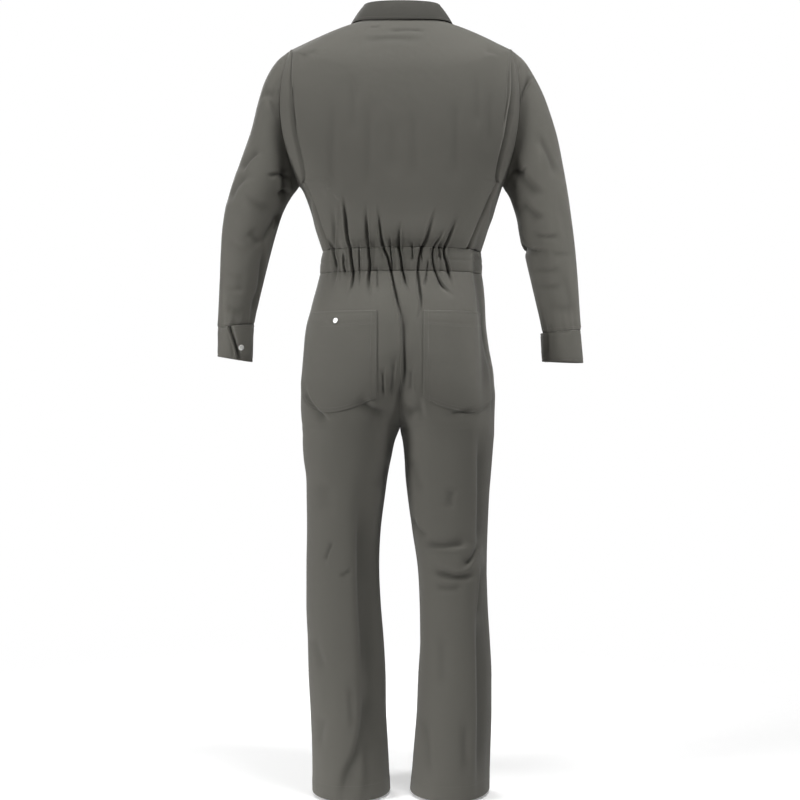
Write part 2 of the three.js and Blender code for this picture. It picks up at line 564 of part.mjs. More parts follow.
// A wall over a smooth surface: rise(u, v, point, normal) is the outer face's height over it.
// Rows that meet a waist seam lie level, and no half of the trousers passes the middle
function wall({ us, vs, surface, rise, trim, levels = {}, sideSign = 0, closed = false }) {
  const grids = [0, CLOTH].map((depth) =>
    vs.map((v, i) =>
      us.map((u) => {
        const point = surface.at(u, v);
        const normal = normalOf(surface, u, v);
        point.addScaledVector(normal, rise(u, v, point, normal) - depth);
        if (i === 0 && levels.first) point.z = levels.first;
        if (i === vs.length - 1 && levels.last) point.z = levels.last;
        if (sideSign && point.x * sideSign < SEAM / 2) point.x = (sideSign * SEAM) / 2;
        return point;
      }),
    ),
  );
  const outer = trimmed(grids[0], SEAM / 2, trim);
  return { outer, geometry: solid(outer, trimmed(grids[1], SEAM / 2 + MITRE, trim), closed) };
}

// A wall laid at its outer face: the other face is moved in along the grid's own normals
function laidWall(outer, thickness, sign) {
  const last = outer.length - 1;
  const wide = outer[0].length - 1;
  const inner = outer.map((row, i) =>
    row.map((p, j) => {
      const du = row[Math.min(j + 1, wide)].clone().sub(row[Math.max(j - 1, 0)]);
      const dv = outer[Math.min(i + 1, last)][j].clone().sub(outer[Math.max(i - 1, 0)][j]);
      return p.clone().addScaledVector(du.cross(dv).normalize(), -sign * thickness);
    }),
  );
  return solid(outer, inner, false);
}

const garment = new THREE.Group();
function add(name, geometry, material = TWILL) {
  const mesh = new THREE.Mesh(geometry, material);
  mesh.name = name;
  garment.add(mesh);
  return mesh;
}

// The back: one piece from side to side, with the fold of an action pleat in each half

const pleatLine = reader(PLEAT_LINE, "run");
const pleatCloses = reader(PLEAT_CLOSES, "run");
// The back, the front and the sleeve of a side share the points of the armhole
const ARMHOLE_RUNS = [1.09, 1.2, 1.32, 1.45, 1.58, 1.7, 1.81, 1.92];
const BACK_RUNS = [0, 0.1, 0.26, 0.5, 0.76, 1, ...ARMHOLE_RUNS, 2, 2.2, 2.5, 2.8, 3];
// Columns at the waist: in the troughs of the folds and on the ridges between them
const BACK_COLUMN_X = {
  left: [0, 10, 25, 43, 60, 80, 100, 116],
  right: [0, 5, 20, 36, 52, 68, 84, 99],
};
const BACK_EDGE_X = { left: 150, right: 140 }; // the edge of the pleat's fold, on the same scale
const SIDE_COLUMNS = 4; // from the pleat to the side edge
const bodiceCentre = () => new THREE.Vector3(0, SIDE_SEAM_Y, 1290);
const bodiceSurface = (side, face) => ({
  at: (u, v) => bodicePoint(side, face, v, u),
  centre: bodiceCentre,
  step: 1e-3,
});

function blouse(run, x) {
  const away = mix(0, UNDERARM - WAIST_TOP, run);
  const { rise, within, until, plainX, fullX } = BLOUSE;
  const full = smooth((plainX - Math.abs(x)) / (plainX - fullX));
  return (
    seamFolds(BLOUSE_FOLDS, x, away) + rise * full * smooth(away / within) * smooth(1 - away / until)
  );
}

function backPanel() {
  const outer = [];
  const inner = [];
  const { depth, leastDepth, layerGap, spread, easeOut } = PLEAT;
  for (const run of BACK_RUNS) {
    const halves = SIDES.map((side) => {
      const surface = bodiceSurface(side, BACK);
      const rowLength = bodiceRowLength(side, BACK, run);
      const line = pleatLine(run);
      const closes = pleatCloses(run);
      const edge = line[side.name] * rowLength;
      const open = line[`open${side.cap}`] * closes.step;
      const fold = mix(leastDepth, depth, closes.depth);
      const apart = (i) => i * spread * (1 - closes.step);
      const under = 2 * CLOTH + layerGap;
      const down = closes.step;
      const columns = [
        ...BACK_COLUMN_X[side.name].map((x) => {
          const s = (x / BACK_EDGE_X[side.name]) * edge;
          return [s, 0, s, 0];
        }),
        [edge - fold - CLOTH, 0, edge - fold - CLOTH, 0],
        [edge, 0, edge - CLOTH, 0],
        [edge + apart(1), -under * down, edge - CLOTH + apart(1), -layerGap * down],
        [edge - fold + apart(2), -under * down, edge - fold - CLOTH + apart(2), -layerGap * down],
        [
          edge - fold + apart(3), -(under + layerGap) * down - open,
          edge - fold - CLOTH + apart(3), -2 * (CLOTH + layerGap) * down - open,
        ],
        ...steps(edge + 5 + apart(3), rowLength, SIDE_COLUMNS).map((s) => {
          const left = 1 - smooth((s - edge - 5) / easeOut);
          const drop = (2 * (CLOTH + layerGap) * down + open) * left;
          return [s, -drop, s, -drop];
        }),
      ];
      return columns.map(([outS, outRise, inS, inRise]) => {
        const place = (s, rise) => {
          const u = clamp01(s / rowLength);
          const point = surface.at(u, run);
          const normal = normalOf(surface, u, run);
          point.addScaledVector(normal, blouse(run, point.x) + rise);
          if (run === 0) point.z = WAIST_TOP + SEAM / 2;
          return point;
        };
        return [place(outS, outRise), place(inS, inRise - CLOTH)];
      });
    });
    const across = [...halves[0].slice(1).reverse(), ...halves[1]];
    outer.push(across.map((pair) => pair[0]));
    inner.push(across.map((pair) => pair[1]));
  }
  const trim = { rows: true, first: false, last: true };
  return solid(trimmed(outer, SEAM / 2, trim), trimmed(inner, SEAM / 2 + MITRE, trim), false);
}

function bodiceRowLength(side, face, run) {
  const points = steps(0, 1, 24).map((share) => bodicePoint(side, face, run, share));
  return points.slice(1).reduce((sum, p, i) => sum + p.distanceTo(points[i]), 0);
}

add("back", backPanel());

// The fronts: a left and a right, which meet in the middle under the placket

const FRONT_RUNS = [0, 0.22, 0.55, 1, ...ARMHOLE_RUNS, 2, 2.25, 2.6, 2.85, 3];
for (const side of SIDES) {
  const front = wall({
    us: [0, 0.11, 0.2, 0.29, 0.38, 0.47, 0.56, 0.66, 0.77, 0.88, 1],
    vs: FRONT_RUNS,
    surface: bodiceSurface(side, FRONT),
    rise: (u, run, p) => {
      const away = mix(0, UNDERARM - WAIST_TOP, run);
      return seamFolds(FRONT_WAIST_FOLDS, p.x, away) * clearOfPlacket(p.x);
    },
    trim: { rows: true, first: false, last: true },
    levels: { first: WAIST_TOP + SEAM / 2 },
  });
  add(`front_${side.name}`, front.geometry);
}

// The sleeves, each one piece with its seam under the arm

function sectionCentre(side, s) {
  return new THREE.Vector3((side.sign * (s.outerX + s.innerX)) / 2, s.y, (s.outerH + s.innerH) / 2);
}

const backTurns = [2, ...ARMHOLE_RUNS.toReversed(), 1].map((run) => (2 - run) / 2);
const frontTurns = ARMHOLE_RUNS.map((run) => run / 2);
for (const side of SIDES) {
  const section = sleeveAt[side.name];
  const sleeve = wall({
    us: [...backTurns, ...frontTurns],
    vs: [0, 0.5, 1, 1.8, 2.6, 3.4, 4.2, 5, 5.7, 6.4, 7.1, 7.8, 8.5, 9.2, 10, 10.8, 11.5, 12],
    surface: {
      at: (u, v) => sectionPoint(side, section(v), u * 2 * Math.PI),
      centre: (u, v) => sectionCentre(side, section(v)),
      step: 1e-3,
    },
    rise: (u, v, p, normal) =>
      creases(`sleeve${side.cap}`, p, normal) * smooth(v / 1.2) * smooth((12 - v) / 0.8),
    trim: { rows: false, first: true, last: true },
    closed: true,
  });
  add(`sleeve_${side.name}`, sleeve.geometry);
}

// The cuffs: a band round each wrist, one end lapped over the other, with a press stud

const cuffPlaces = {};
for (const side of SIDES) {
  const top = sleeveAt[side.name](12);
  const end = CUFF[side.name];
  const sectionAt = (v) =>
    Object.fromEntries(Object.keys(top).map((k) => [k, mix(top[k], end[k] ?? 0, v)]));
  const surface = {
    at: (u, v) => {
      const slit = end.slitDegrees + end.lean * (v - 0.5);
      const degrees = slit + end.lapWay * (u * (360 + CUFF_LAP) - CUFF_LAP / 2);
      return sectionPoint(side, sectionAt(v), THREE.MathUtils.degToRad(degrees));
    },
    centre: (u, v) => sectionCentre(side, sectionAt(v)),
    step: 1e-3,
  };
  const lapRise = (u) => {
    const lap = CUFF_LAP / (360 + CUFF_LAP);
    return (CLOTH + LAID) * 1.6 * smooth((u - 1 + 3 * lap) / (2 * lap));
  };
  const cuff = wall({
    us: steps(0, 1, 26),
    vs: [0, 0.5, 1],
    surface,
    rise: (u) => 0.6 + lapRise(u),
    trim: { rows: false, first: true, last: false },
  });
  add(`cuff_${side.name}`, cuff.geometry, TWILL_TRIM);
  const studU = 1 - CUFF_STUD.degrees / (360 + CUFF_LAP);
  const normal = normalOf(surface, studU, CUFF_STUD.down);
  cuffPlaces[side.name] = {
    point: surface.at(studU, CUFF_STUD.down).addScaledVector(normal, 0.6 + lapRise(studU)),
    normal,
  };
}

// The waistband: a gathered casing across the back and a plain band on each front

// Columns in the troughs of the gathers, on the ridges between them and round the plain ends
const WAIST_BACK_X = [
  162, 155, 146, 139, 133, 125, 117, 108, 100, 90, 80, 70, 60, 51, 43, 34, 25, 17, 10, 2, -5, -12,
  -20, -28, -36, -44, -52, -60, -68, -76, -84, -91, -99, -107, -116, -128, -140, -150, -158, -164,
];

function waistPoint(side, face, share, height) {
  const up = (height - WAIST_BOTTOM) / (WAIST_TOP - WAIST_BOTTOM);
  const oval = legOval(side, face, WAIST_BOTTOM);
  const low = byLength((a) => legOvalPoint(side, oval, a, height), Math.PI / 2, 0, 32)(share);
  const high = bodicePoint(side, face, 0, share);
  return new THREE.Vector3(mix(low.x, high.x, up), mix(low.y, high.y, up), height);
}

const gathers = (x) =>
  GATHERS.reduce((sum, g) => sum - g.depth * Math.exp(-(((x - g.x) / g.width) ** 2)), 0);

// u runs from the left side seam (0) by the middle (0.5) to the right side seam (1)
function waistband(face, us, rise) {
  const half = (u) => (u < 0.5 ? SIDES[0] : SIDES[1]);
  return wall({
    us,
    vs: steps(WAIST_BOTTOM, WAIST_TOP, 2),
    surface: {
      at: (u, v) => waistPoint(half(u), face, Math.abs(2 * u - 1), v),
      centre: (u, v) => new THREE.Vector3(0, SIDE_SEAM_Y, v),
      step: 0.01,
    },
    rise,
    trim: { rows: true, first: false, last: false },
    levels: { first: WAIST_BOTTOM + SEAM / 2, last: WAIST_TOP - SEAM / 2 },
  }).geometry;
}

// Where x falls on the back of the waist, as u
function waistBackU(x) {
  const side = x > 0 ? SIDES[0] : SIDES[1];
  let low = 0;
  let high = 1;
  for (const _ of range(24)) {
    const half = (low + high) / 2;
    if (Math.abs(waistPoint(side, BACK, half, WAIST_BOTTOM).x) < Math.abs(x)) low = half;
    else high = half;
  }
  return 0.5 - (side.sign * low) / 2;
}

const bandPuff = (v) => 2.2 * Math.sin((Math.PI * (v - WAIST_BOTTOM)) / (WAIST_TOP - WAIST_BOTTOM));
const waistBackUs = [0, ...WAIST_BACK_X.map(waistBackU), 1];
add(
  "waistband_back",
  waistband(BACK, waistBackUs, (u, v, p) => gathers(p.x) + bandPuff(v)),
  TWILL_TRIM,
);
for (const side of SIDES) {
  const us = side.sign > 0 ? steps(0, 0.5, 10).slice(0, -1).concat(0.49999) : steps(0.5, 1, 10);
  add(
    `waistband_front_${side.name}`,
    waistband(FRONT, us, (u, v, p) => bandPuff(v) * 0.4 * clearOfPlacket(p.x)),
    TWILL_TRIM,
  );
}

// The trousers: a back and a front for each leg, with rows close together round the crotch

const LEG_HEIGHTS = [
  0, 75, 155, 235, 310, 380, 455, 530, 600, 660, 705, 728, 738, 748, 762, 785, 815, 850, 890, 930,
  970, 1003, 1028, 1048,
];
// Columns at the waist from the side to the middle, in the troughs of the folds and between them
const SEAT_COLUMN_X = {
  left: [150, 133, 112, 91, 76, 60, 41, 22, 10],
  right: [155, 138, 123, 108, 88, 68, 53, 38, 25, 12],
};
const legSurface = (side, face) => ({
  at: (u, v) => legPoint(side, face, v, u),
  centre: (u, v) => {
    const oval = legOval(side, face, v);
    return new THREE.Vector3(side.sign * oval.middleX, oval.seamY, v);
  },
  step: 0.2,
});
const seats = {};
for (const side of SIDES)
  for (const face of [BACK, FRONT]) {
    const topShare = (x) => shareAtX(side, WAIST_BOTTOM, x);
    const seatUs = [0, 0.1, 0.2, ...SEAT_COLUMN_X[side.name].map(topShare), 1];
    const us = face === BACK ? seatUs : steps(0, 1, 10);
    const leg = wall({
      us,
      vs: LEG_HEIGHTS,
      surface: legSurface(side, face),
      rise: (u, height, p, normal) => legRise(side, face, height, p, normal),
      trim: { rows: true, first: false, last: false },
      levels: { last: WAIST_BOTTOM - SEAM / 2 },
      sideSign: side.sign,
    });
    add(`leg_${face.name}_${side.name}`, leg.geometry);
    if (face === BACK) seats[side.name] = { us, outer: leg.outer };
  }

function legRise(side, face, height, point, normal) {
  const away = WAIST_BOTTOM - height;
  const nearSeam = smooth((Math.abs(point.x) - 1) / 5 + (height < CROTCH ? 1 : 0));
  const main = creases(`leg${side.cap}`, point, normal) * nearSeam;
  if (face === BACK) return main + seamFolds(SEAT_FOLDS, point.x, away);
  return main + seamFolds(FRONT_WAIST_FOLDS, point.x, away) * clearOfPlacket(point.x);
}

// The hip pockets: each a patch with a rounded point, laid on the back of a leg

function shareAtX(side, height, x) {
  let low = 0;
  let high = 1;
  for (const _ of range(24)) {
    const half = (low + high) / 2;
    const there = legPoint(side, BACK, height, half).x * side.sign;
    if (there > x) low = half;
    else high = half;
  }
  return low;
}

function shareAtAngle(side, height, degrees) {
  const oval = legOval(side, BACK, height);
  return shareAtX(side, height, Math.abs(
    legOvalPoint(side, oval, THREE.MathUtils.degToRad(degrees), height).x,
  ));
}

// A point of a seat panel as it was made, which is what a pocket lies on
function onSeat(side, share, height) {
  const { us, outer } = seats[side.name];
  const i = Math.max(0, LEG_HEIGHTS.findIndex((h) => h > height) - 1);
  const j = Math.max(0, us.findIndex((u) => u > share) - 1);
  const up = (height - LEG_HEIGHTS[i]) / (LEG_HEIGHTS[i + 1] - LEG_HEIGHTS[i]);
  const along = (share - us[j]) / (us[j + 1] - us[j]);
  const start = outer[i][j].clone();
  const end = outer[i + 1][j + 1];
  // the two triangles that the panel has there
  const turn = along > up ? outer[i][j + 1] : outer[i + 1][j];
  const [first, second] = along > up ? [along, up] : [up, along];
  const result = start.clone().addScaledVector(turn.clone().sub(start), first);
  return result.addScaledVector(end.clone().sub(turn), second);
}

function pocketPoint(side, across, down, rise) {
  const drop = POCKET.side + POCKET.point * (1 - Math.abs(across) ** 1.7);
  const height = POCKET.top - down * drop;
  const near = shareAtX(side, height, POCKET.innerX);
  const far = shareAtAngle(side, height, POCKET.outerDegrees);
  const share = mix(far, near, (across + 1) / 2);
  const normal = normalOf(legSurface(side, BACK), share, height);
  return { point: onSeat(side, share, height).addScaledVector(normal, rise), normal };
}

for (const side of SIDES) {
  const outer = steps(0, 1, 9).map((down) =>
    steps(-1, 1, 13).map((across) => pocketPoint(side, across, down, LAID + CLOTH).point),
  );
  add(`hip_pocket_${side.name}`, laidWall(outer, CLOTH, -side.sign), TWILL_TRIM);
}

// The front placket: one strip down the middle, from the neck to the end of the fly

// A level is a run of the bodice or, below the waist seam, a height of the trousers
const PLACKET_LEVELS = [
  ...[862, 890, 930, 970, 1003, 1028, 1046].map((height) => ({ height })),
  ...[0, 0.11, ...FRONT_RUNS.slice(1, -1)].map((run) => ({ run })),
  { run: 2.985 },
];

function placketPoint(x, { run, height }) {
  const side = x < 0 ? SIDES[1] : SIDES[0];
  const onBodice = run !== undefined;
  const surface = onBodice ? bodiceSurface(side, FRONT) : legSurface(side, FRONT);
  const place = (share) => (onBodice ? surface.at(share, run) : surface.at(1 - share, height));
  let low = 0;
  let high = 0.5;
  for (const _ of range(24)) {
    const half = (low + high) / 2;
    if (place(half).x * side.sign < Math.abs(x)) low = half;
    else high = half;
  }
  const point = place(low);
  point.x = x;
  const before = onBodice ? surface.at(0, run - 0.02) : surface.at(1, height - 5);
  const after = onBodice ? surface.at(0, run + 0.02) : surface.at(1, height + 5);
  const along = after.sub(before);
  return point.addScaledVector(new THREE.Vector3(0, -along.z, along.y).normalize(), PLACKET.stand);
}

const placketGrid = PLACKET_LEVELS.map((level) =>
  steps(PLACKET.left, PLACKET.right, 4).map((x) => placketPoint(x, level)),
);
add("front_placket", laidWall(placketGrid, CLOTH, -1), TWILL_TRIM);

// The collar: a stand round the neck that folds over into a fall with pointed fronts

const COLLAR = { stand: 31, lean: 4, fold: 2.5, endGap: 1 };
// By the way round the neck from the middle of the back (0) by the shoulder seam (1) to the front
// (2): where the fall's edge lies on the bodice, and how far it stands off it
const COLLAR_EDGE = [
  { round: 0, down: 0.1, along: 0, off: 3 },
  { round: 0.6, down: 0.12, along: 0.62, off: 3 },
  { round: 1, down: 0.17, along: 1.02, off: 3 },
  { round: 1.4, down: 0.36, along: 1.32, off: 3.4 },
  { round: 1.75, down: 0.62, along: 1.56, off: 4 },
  { round: 2, down: 0.86, along: 1.72, off: 4.6 },
];
const collarEdge = reader(COLLAR_EDGE, "round");

function neckFrame(side, round) {
  const on = (r, run) =>
    r <= 1 ? bodicePoint(side, BACK, run, r) : bodicePoint(side, FRONT, run, 2 - r);
  const seam = on(round, 3);
  const tangent = on(Math.min(round + 0.01, 2), 3).sub(on(Math.max(round - 0.01, 0), 3));
  const outward = new THREE.Vector3(tangent.y, -tangent.x, 0).normalize();
  if (outward.dot(seam) < 0) outward.negate();
  return { on, seam, outward };
}

function collarColumn(side, round) {
  const { on, seam, outward } = neckFrame(side, round);
  const edge = collarEdge(round);
  const up = new THREE.Vector3(0, 0, 1);
  const e = 1e-3;
  const base = on(edge.along, 3 - edge.down);
  const across = on(Math.min(edge.along + e, 2), 3 - edge.down);
  across.sub(on(Math.max(edge.along - e, 0), 3 - edge.down));
  const uphill = on(edge.along, 3 - edge.down + e).sub(base);
  const normal = across.cross(uphill).normalize();
  if (normal.dot(outward) + normal.z < 0) normal.negate();
  const foot = base.clone().addScaledVector(normal, edge.off);
  const frontDrop = 3.5 * smooth(round - 1); // the stand is a little lower at the front
  const top = seam.clone().addScaledVector(up, COLLAR.stand - frontDrop).addScaledVector(outward, -COLLAR.lean);
  const column = steps(0, 1, 3).map((s) =>
    seam.clone().addScaledVector(up, 0.3).lerp(top, s).addScaledVector(outward, -COLLAR_CLOTH),
  );
  const middle = top.clone().addScaledVector(outward, -COLLAR_CLOTH + COLLAR.fold);
  for (const angle of [0.75, 0.5, 0.25, 0]) {
    const a = Math.PI * angle;
    column.push(
      middle.clone()
        .addScaledVector(outward, COLLAR.fold * Math.cos(a))
        .addScaledVector(up, COLLAR.fold * Math.sin(a)),
    );
  }
  const start = column[column.length - 1];
  const bend = start.clone().lerp(foot, 0.45).addScaledVector(outward, 2.5).addScaledVector(up, 2);
  for (const s of [0.2, 0.4, 0.6, 0.8, 1])
    column.push(
      start.clone().multiplyScalar((1 - s) ** 2)
        .addScaledVector(bend, 2 * s * (1 - s))
        .addScaledVector(foot, s * s),
    );
  return column;
}

const COLLAR_STEPS = 15;
const collarColumns = [
  ...steps(2, 0, COLLAR_STEPS).map((round) => collarColumn(SIDES[0], round)),
  ...steps(0, 2, COLLAR_STEPS).slice(1).map((round) => collarColumn(SIDES[1], round)),
];
const collarGrid = range(collarColumns[0].length).map((i) => collarColumns.map((c) => c[i]));
const collarTrim = { rows: true, first: false, last: false };
add("collar", laidWall(trimmed(collarGrid, COLLAR.endGap, collarTrim), COLLAR_CLOTH, -1), TWILL_TRIM);

// The press studs: domed caps on the placket, the cuffs and the left hip pocket

function studCap() {
  const { radius, height, rim } = STUD;
  const profile = [
    new THREE.Vector2(0, 0),
    new THREE.Vector2(radius * 0.92, 0),
    new THREE.Vector2(radius, rim * 0.5),
    new THREE.Vector2(radius * 0.9, rim),
    new THREE.Vector2(radius * 0.55, height * 0.85),
    new THREE.Vector2(0, height),
  ];
  return new THREE.LatheGeometry(profile, 9);
}

function addStud(name, point, normal) {
  const stud = add(name, studCap(), NICKEL);
  stud.quaternion.setFromUnitVectors(new THREE.Vector3(0, 1, 0), normal);
  stud.position.copy(point).addScaledVector(normal, STUD.gap);
}

FRONT_STUD_HEIGHTS.forEach((height, i) => {
  const row = placketGrid.findIndex((points) => points[2].z > height) - 1;
  const [low, high] = [placketGrid[row][2], placketGrid[row + 1][2]];
  const rise = high.clone().sub(low);
  const point = low.clone().addScaledVector(rise, (height - low.z) / rise.z);
  const normal = new THREE.Vector3(0, -rise.z, rise.y).normalize();
  addStud(`front_stud_${i + 1}`, point, normal);
});
for (const side of SIDES)
  addStud(`cuff_stud_${side.name}`, cuffPlaces[side.name].point, cuffPlaces[side.name].normal);
const pocketPlace = pocketPoint(SIDES[0], POCKET_STUD.across, POCKET_STUD.down, LAID + CLOTH);
addStud("hip_pocket_stud", pocketPlace.point, pocketPlace.normal);

garment.position.z = -NECK_BASE;
const boilerSuit = new THREE.Group();
boilerSuit.add(garment);

export default boilerSuit;
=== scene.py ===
"""A boiler suit, seen from behind and filled out as in wear: grey twill, action pleats, an elastic
back waist, hip pockets and press studs. The suit's sizes are in millimetres, with heights above the
leg hems; its meshes, the studio and the materials are in metres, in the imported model's frame."""

import math

import bpy
import numpy as np
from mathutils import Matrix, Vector


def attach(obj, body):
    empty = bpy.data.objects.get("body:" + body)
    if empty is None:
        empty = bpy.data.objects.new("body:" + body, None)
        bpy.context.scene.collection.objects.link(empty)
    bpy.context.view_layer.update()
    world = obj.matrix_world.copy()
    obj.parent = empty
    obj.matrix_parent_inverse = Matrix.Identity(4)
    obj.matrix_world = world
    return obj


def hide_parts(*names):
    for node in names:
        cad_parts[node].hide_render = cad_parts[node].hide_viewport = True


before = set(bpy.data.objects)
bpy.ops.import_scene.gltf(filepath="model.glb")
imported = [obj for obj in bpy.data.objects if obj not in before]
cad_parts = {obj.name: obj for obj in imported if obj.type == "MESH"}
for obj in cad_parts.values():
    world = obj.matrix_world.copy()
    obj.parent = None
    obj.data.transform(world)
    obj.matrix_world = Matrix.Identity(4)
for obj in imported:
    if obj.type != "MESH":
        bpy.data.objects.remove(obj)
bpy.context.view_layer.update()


# The camera stands straight behind the suit, level with the middle of its height, as for a
# catalogue picture. The whole suit fills the picture from the collar to the hems.
CAMERA_DISTANCE = 3.0
VIEW_WIDTH = 1.64  # metres of the suit's middle plane across the picture
EYE_HEIGHT = -0.7487  # half way between the picture's top and bottom edges
SENSOR = 36.0

camera_data = bpy.data.cameras.new("camera")
camera_data.sensor_width = SENSOR
camera_data.lens = SENSOR * CAMERA_DISTANCE / VIEW_WIDTH
camera = bpy.data.objects.new("camera", camera_data)
camera.location = (0, CAMERA_DISTANCE, EYE_HEIGHT)
camera.rotation_euler = (math.radians(90), 0, math.radians(180))
bpy.context.scene.collection.objects.link(camera)
bpy.context.scene.camera = camera


# The studio: a large soft light to the left of the camera, one overhead for the shoulders, narrow
# ones for the right sleeve and for each cuff, two more in front of the suit, and a white surround.
def soft_light(name, place, aim, size, watts, spread=180):
    data = bpy.data.lights.new(name, "AREA")
    data.shape = "DISK"
    data.size = size
    data.energy = watts
    data.spread = math.radians(spread)
    light = bpy.data.objects.new(name, data)
    light.location = place
    light.rotation_euler = (Vector(aim) - Vector(place)).to_track_quat("-Z", "Y").to_euler()
    bpy.context.scene.collection.objects.link(light)


SHOULDER_AIM, CHEST_AIM, LEG_AIM = (0, 0, -0.15), (0, 0, -0.45), (0, 0, -0.8)
SLEEVE_AIM = (-0.38, 0, -0.46)
LEFT_CUFF_AIM, RIGHT_CUFF_AIM = (0.36, 0, -0.54), (-0.36, 0, -0.52)
soft_light("key_light", (2.9, 1.6, 0.1), LEG_AIM, size=1.1, watts=84)
soft_light("top_light", (-0.5, 0.62, 2.1), SHOULDER_AIM, size=0.8, watts=61)
soft_light("sleeve_light", (-2.1, 1.3, 0.5), SLEEVE_AIM, size=0.5, watts=2.4, spread=44)
soft_light("left_cuff_light", (1.9, 2.0, -0.9), LEFT_CUFF_AIM, size=0.25, watts=0.12, spread=16)
soft_light("right_cuff_light", (-1.9, 2.0, -0.9), RIGHT_CUFF_AIM, size=0.25, watts=0.16, spread=16)
soft_light("front_key_light", (1.3, -2.9, 0.9), CHEST_AIM, size=1.5, watts=72)
soft_light("front_side_light", (-0.9, -3.0, 0.1), CHEST_AIM, size=1.8, watts=8)


class Maths:
    """A shader socket that takes part in Python sums, each of which adds a Math node."""

    def __init__(self, tree, socket=None):
        self.tree, self.socket = tree, socket

    def node(self, kind, settings=(), **sockets):
        made = self.tree.nodes.new(kind)
        for name, value in dict(settings).items():
            setattr(made, name, value)
        for name, value in sockets.items():
            key = int(name[1:]) if name[1:].isdigit() else name.replace("_", " ")
            target = made.inputs[key]
            if isinstance(value, Maths):
                self.tree.links.new(value.socket, target)
            else:
                target.default_value = value
        return made

    def value(self, kind, output, settings=(), **sockets):
        return Maths(self.tree, self.node(kind, settings, **sockets).outputs[output])

    def noise(self, scale, detail=2.0):
        return self.value("ShaderNodeTexNoise", 0, Vector=self, Scale=scale, Detail=detail)

    def feeds(self, socket):
        self.tree.links.new(self.socket, socket)

    def sum_with(self, operation, a, b=0.0):
        return self.value("ShaderNodeMath", 0, {"operation": operation}, _0=a, _1=b)

    def __add__(self, other):
        return self.sum_with("ADD", self, other)

    def __sub__(self, other):
        return self.sum_with("SUBTRACT", self, other)

    def __rsub__(self, other):
        return self.sum_with("SUBTRACT", other, self)

    def __mul__(self, other):
        return self.sum_with("MULTIPLY", self, other)

    __radd__ = __add__
    __rmul__ = __mul__


WHITE = (1, 1, 1, 1)
SURROUND_LIGHT = 0.1  # the surround's share of the light, while it looks white itself
world = bpy.data.worlds.new("studio")
bpy.context.scene.world = world
world.use_nodes = True
surround = world.node_tree.nodes["Background"]
surround.inputs["Color"].default_value = WHITE
seen = Maths(world.node_tree).value("ShaderNodeLightPath", "Is Camera Ray")
seen.value("ShaderNodeMapRange", 0, Value=seen, To_Min=SURROUND_LIGHT).feeds(surround.inputs["Strength"])
bpy.context.scene.view_settings.view_transform = "Standard"


# The floor is a pale disc just below the hems. It takes the suit's soft shadow, and fades out into
# the white surround.
FLOOR_HEIGHT = -1.549
FLOOR_GLOW = 0.25  # lifts the floor to the near white of the surround
FLOOR_CLEAR, FLOOR_END = 0.5, 1.8  # radii between which the floor fades out
FLOOR_PALE, FLOOR_ROUGHNESS = (0.93, 0.93, 0.93, 1), 0.9

bpy.ops.mesh.primitive_circle_add(vertices=96, radius=FLOOR_END, fill_type="NGON")
floor = bpy.context.object
floor.name = "floor"
floor.location.z = FLOOR_HEIGHT
floor_paint = bpy.data.materials.new("floor_paint")
floor_paint.use_nodes = True
floor_shader = floor_paint.node_tree.nodes["Principled BSDF"]
floor_shader.inputs["Base Color"].default_value = FLOOR_PALE
floor_shader.inputs["Roughness"].default_value = FLOOR_ROUGHNESS
floor_shader.inputs["Emission Color"].default_value = WHITE
floor_shader.inputs["Emission Strength"].default_value = FLOOR_GLOW
on_floor = Maths(floor_paint.node_tree).value("ShaderNodeTexCoord", "Object")
radius = on_floor.value("ShaderNodeVectorMath", "Value", {"operation": "LENGTH"}, _0=on_floor)
fade = radius.value(
    "ShaderNodeMapRange", 0, {"interpolation_type": "SMOOTHSTEP"},
    Value=radius, From_Min=FLOOR_CLEAR, From_Max=FLOOR_END, To_Min=1.0, To_Max=0.0,
)
fade.feeds(floor_shader.inputs["Alpha"])
floor.data.materials.append(floor_paint)


# The cloth is a mid-grey polyester and cotton twill of 245 grams a square metre, dyed in the
# piece. Its fine diagonal wale, and slight unevenness of the dye and the pressing, break up the
# matt surface. Painted shade darkens its colour in the bottoms of folds, inside the opened pleats
# and over the collar, read from each piece's fold attribute.
TWILL_GREY, TRIM_SHADE = (0.112, 0.108, 0.094), 0.97
WALE = 0.00125  # metres from one rib of the twill to the next
WALE_SLOPE, WALE_WANDER = 0.72, 2.4  # a rib's run across for its height, and its straying in radians
NOISE = {"wander": 260.0, "grain": 1500.0, "bloom": 5.0, "rumple": 34.0}  # spots in a metre
BLOOM_SHADE, GRAIN_SHADE, RIB_SHADE, DARKEST = 0.14, 0.16, 0.03, 0.85  # parts of the colour
FOLD_PAINTED_SHADE = 0.6  # how much darker the painted shade makes the colour in the bottom of a sharp fold
MATT, BLOOM_MATT = 0.76, 0.08  # the roughness, and what the bloom adds
GLOSS, FUZZ, FUZZ_ROUGHNESS = 0.28, 0.1, 0.45
RUMPLE_BUMP = {"Strength": 0.16, "Distance": 0.006}
WALE_BUMP = {"Strength": 0.5, "Distance": 0.0002}
RIB_RELIEF, GRAIN_RELIEF = 0.5, 0.6


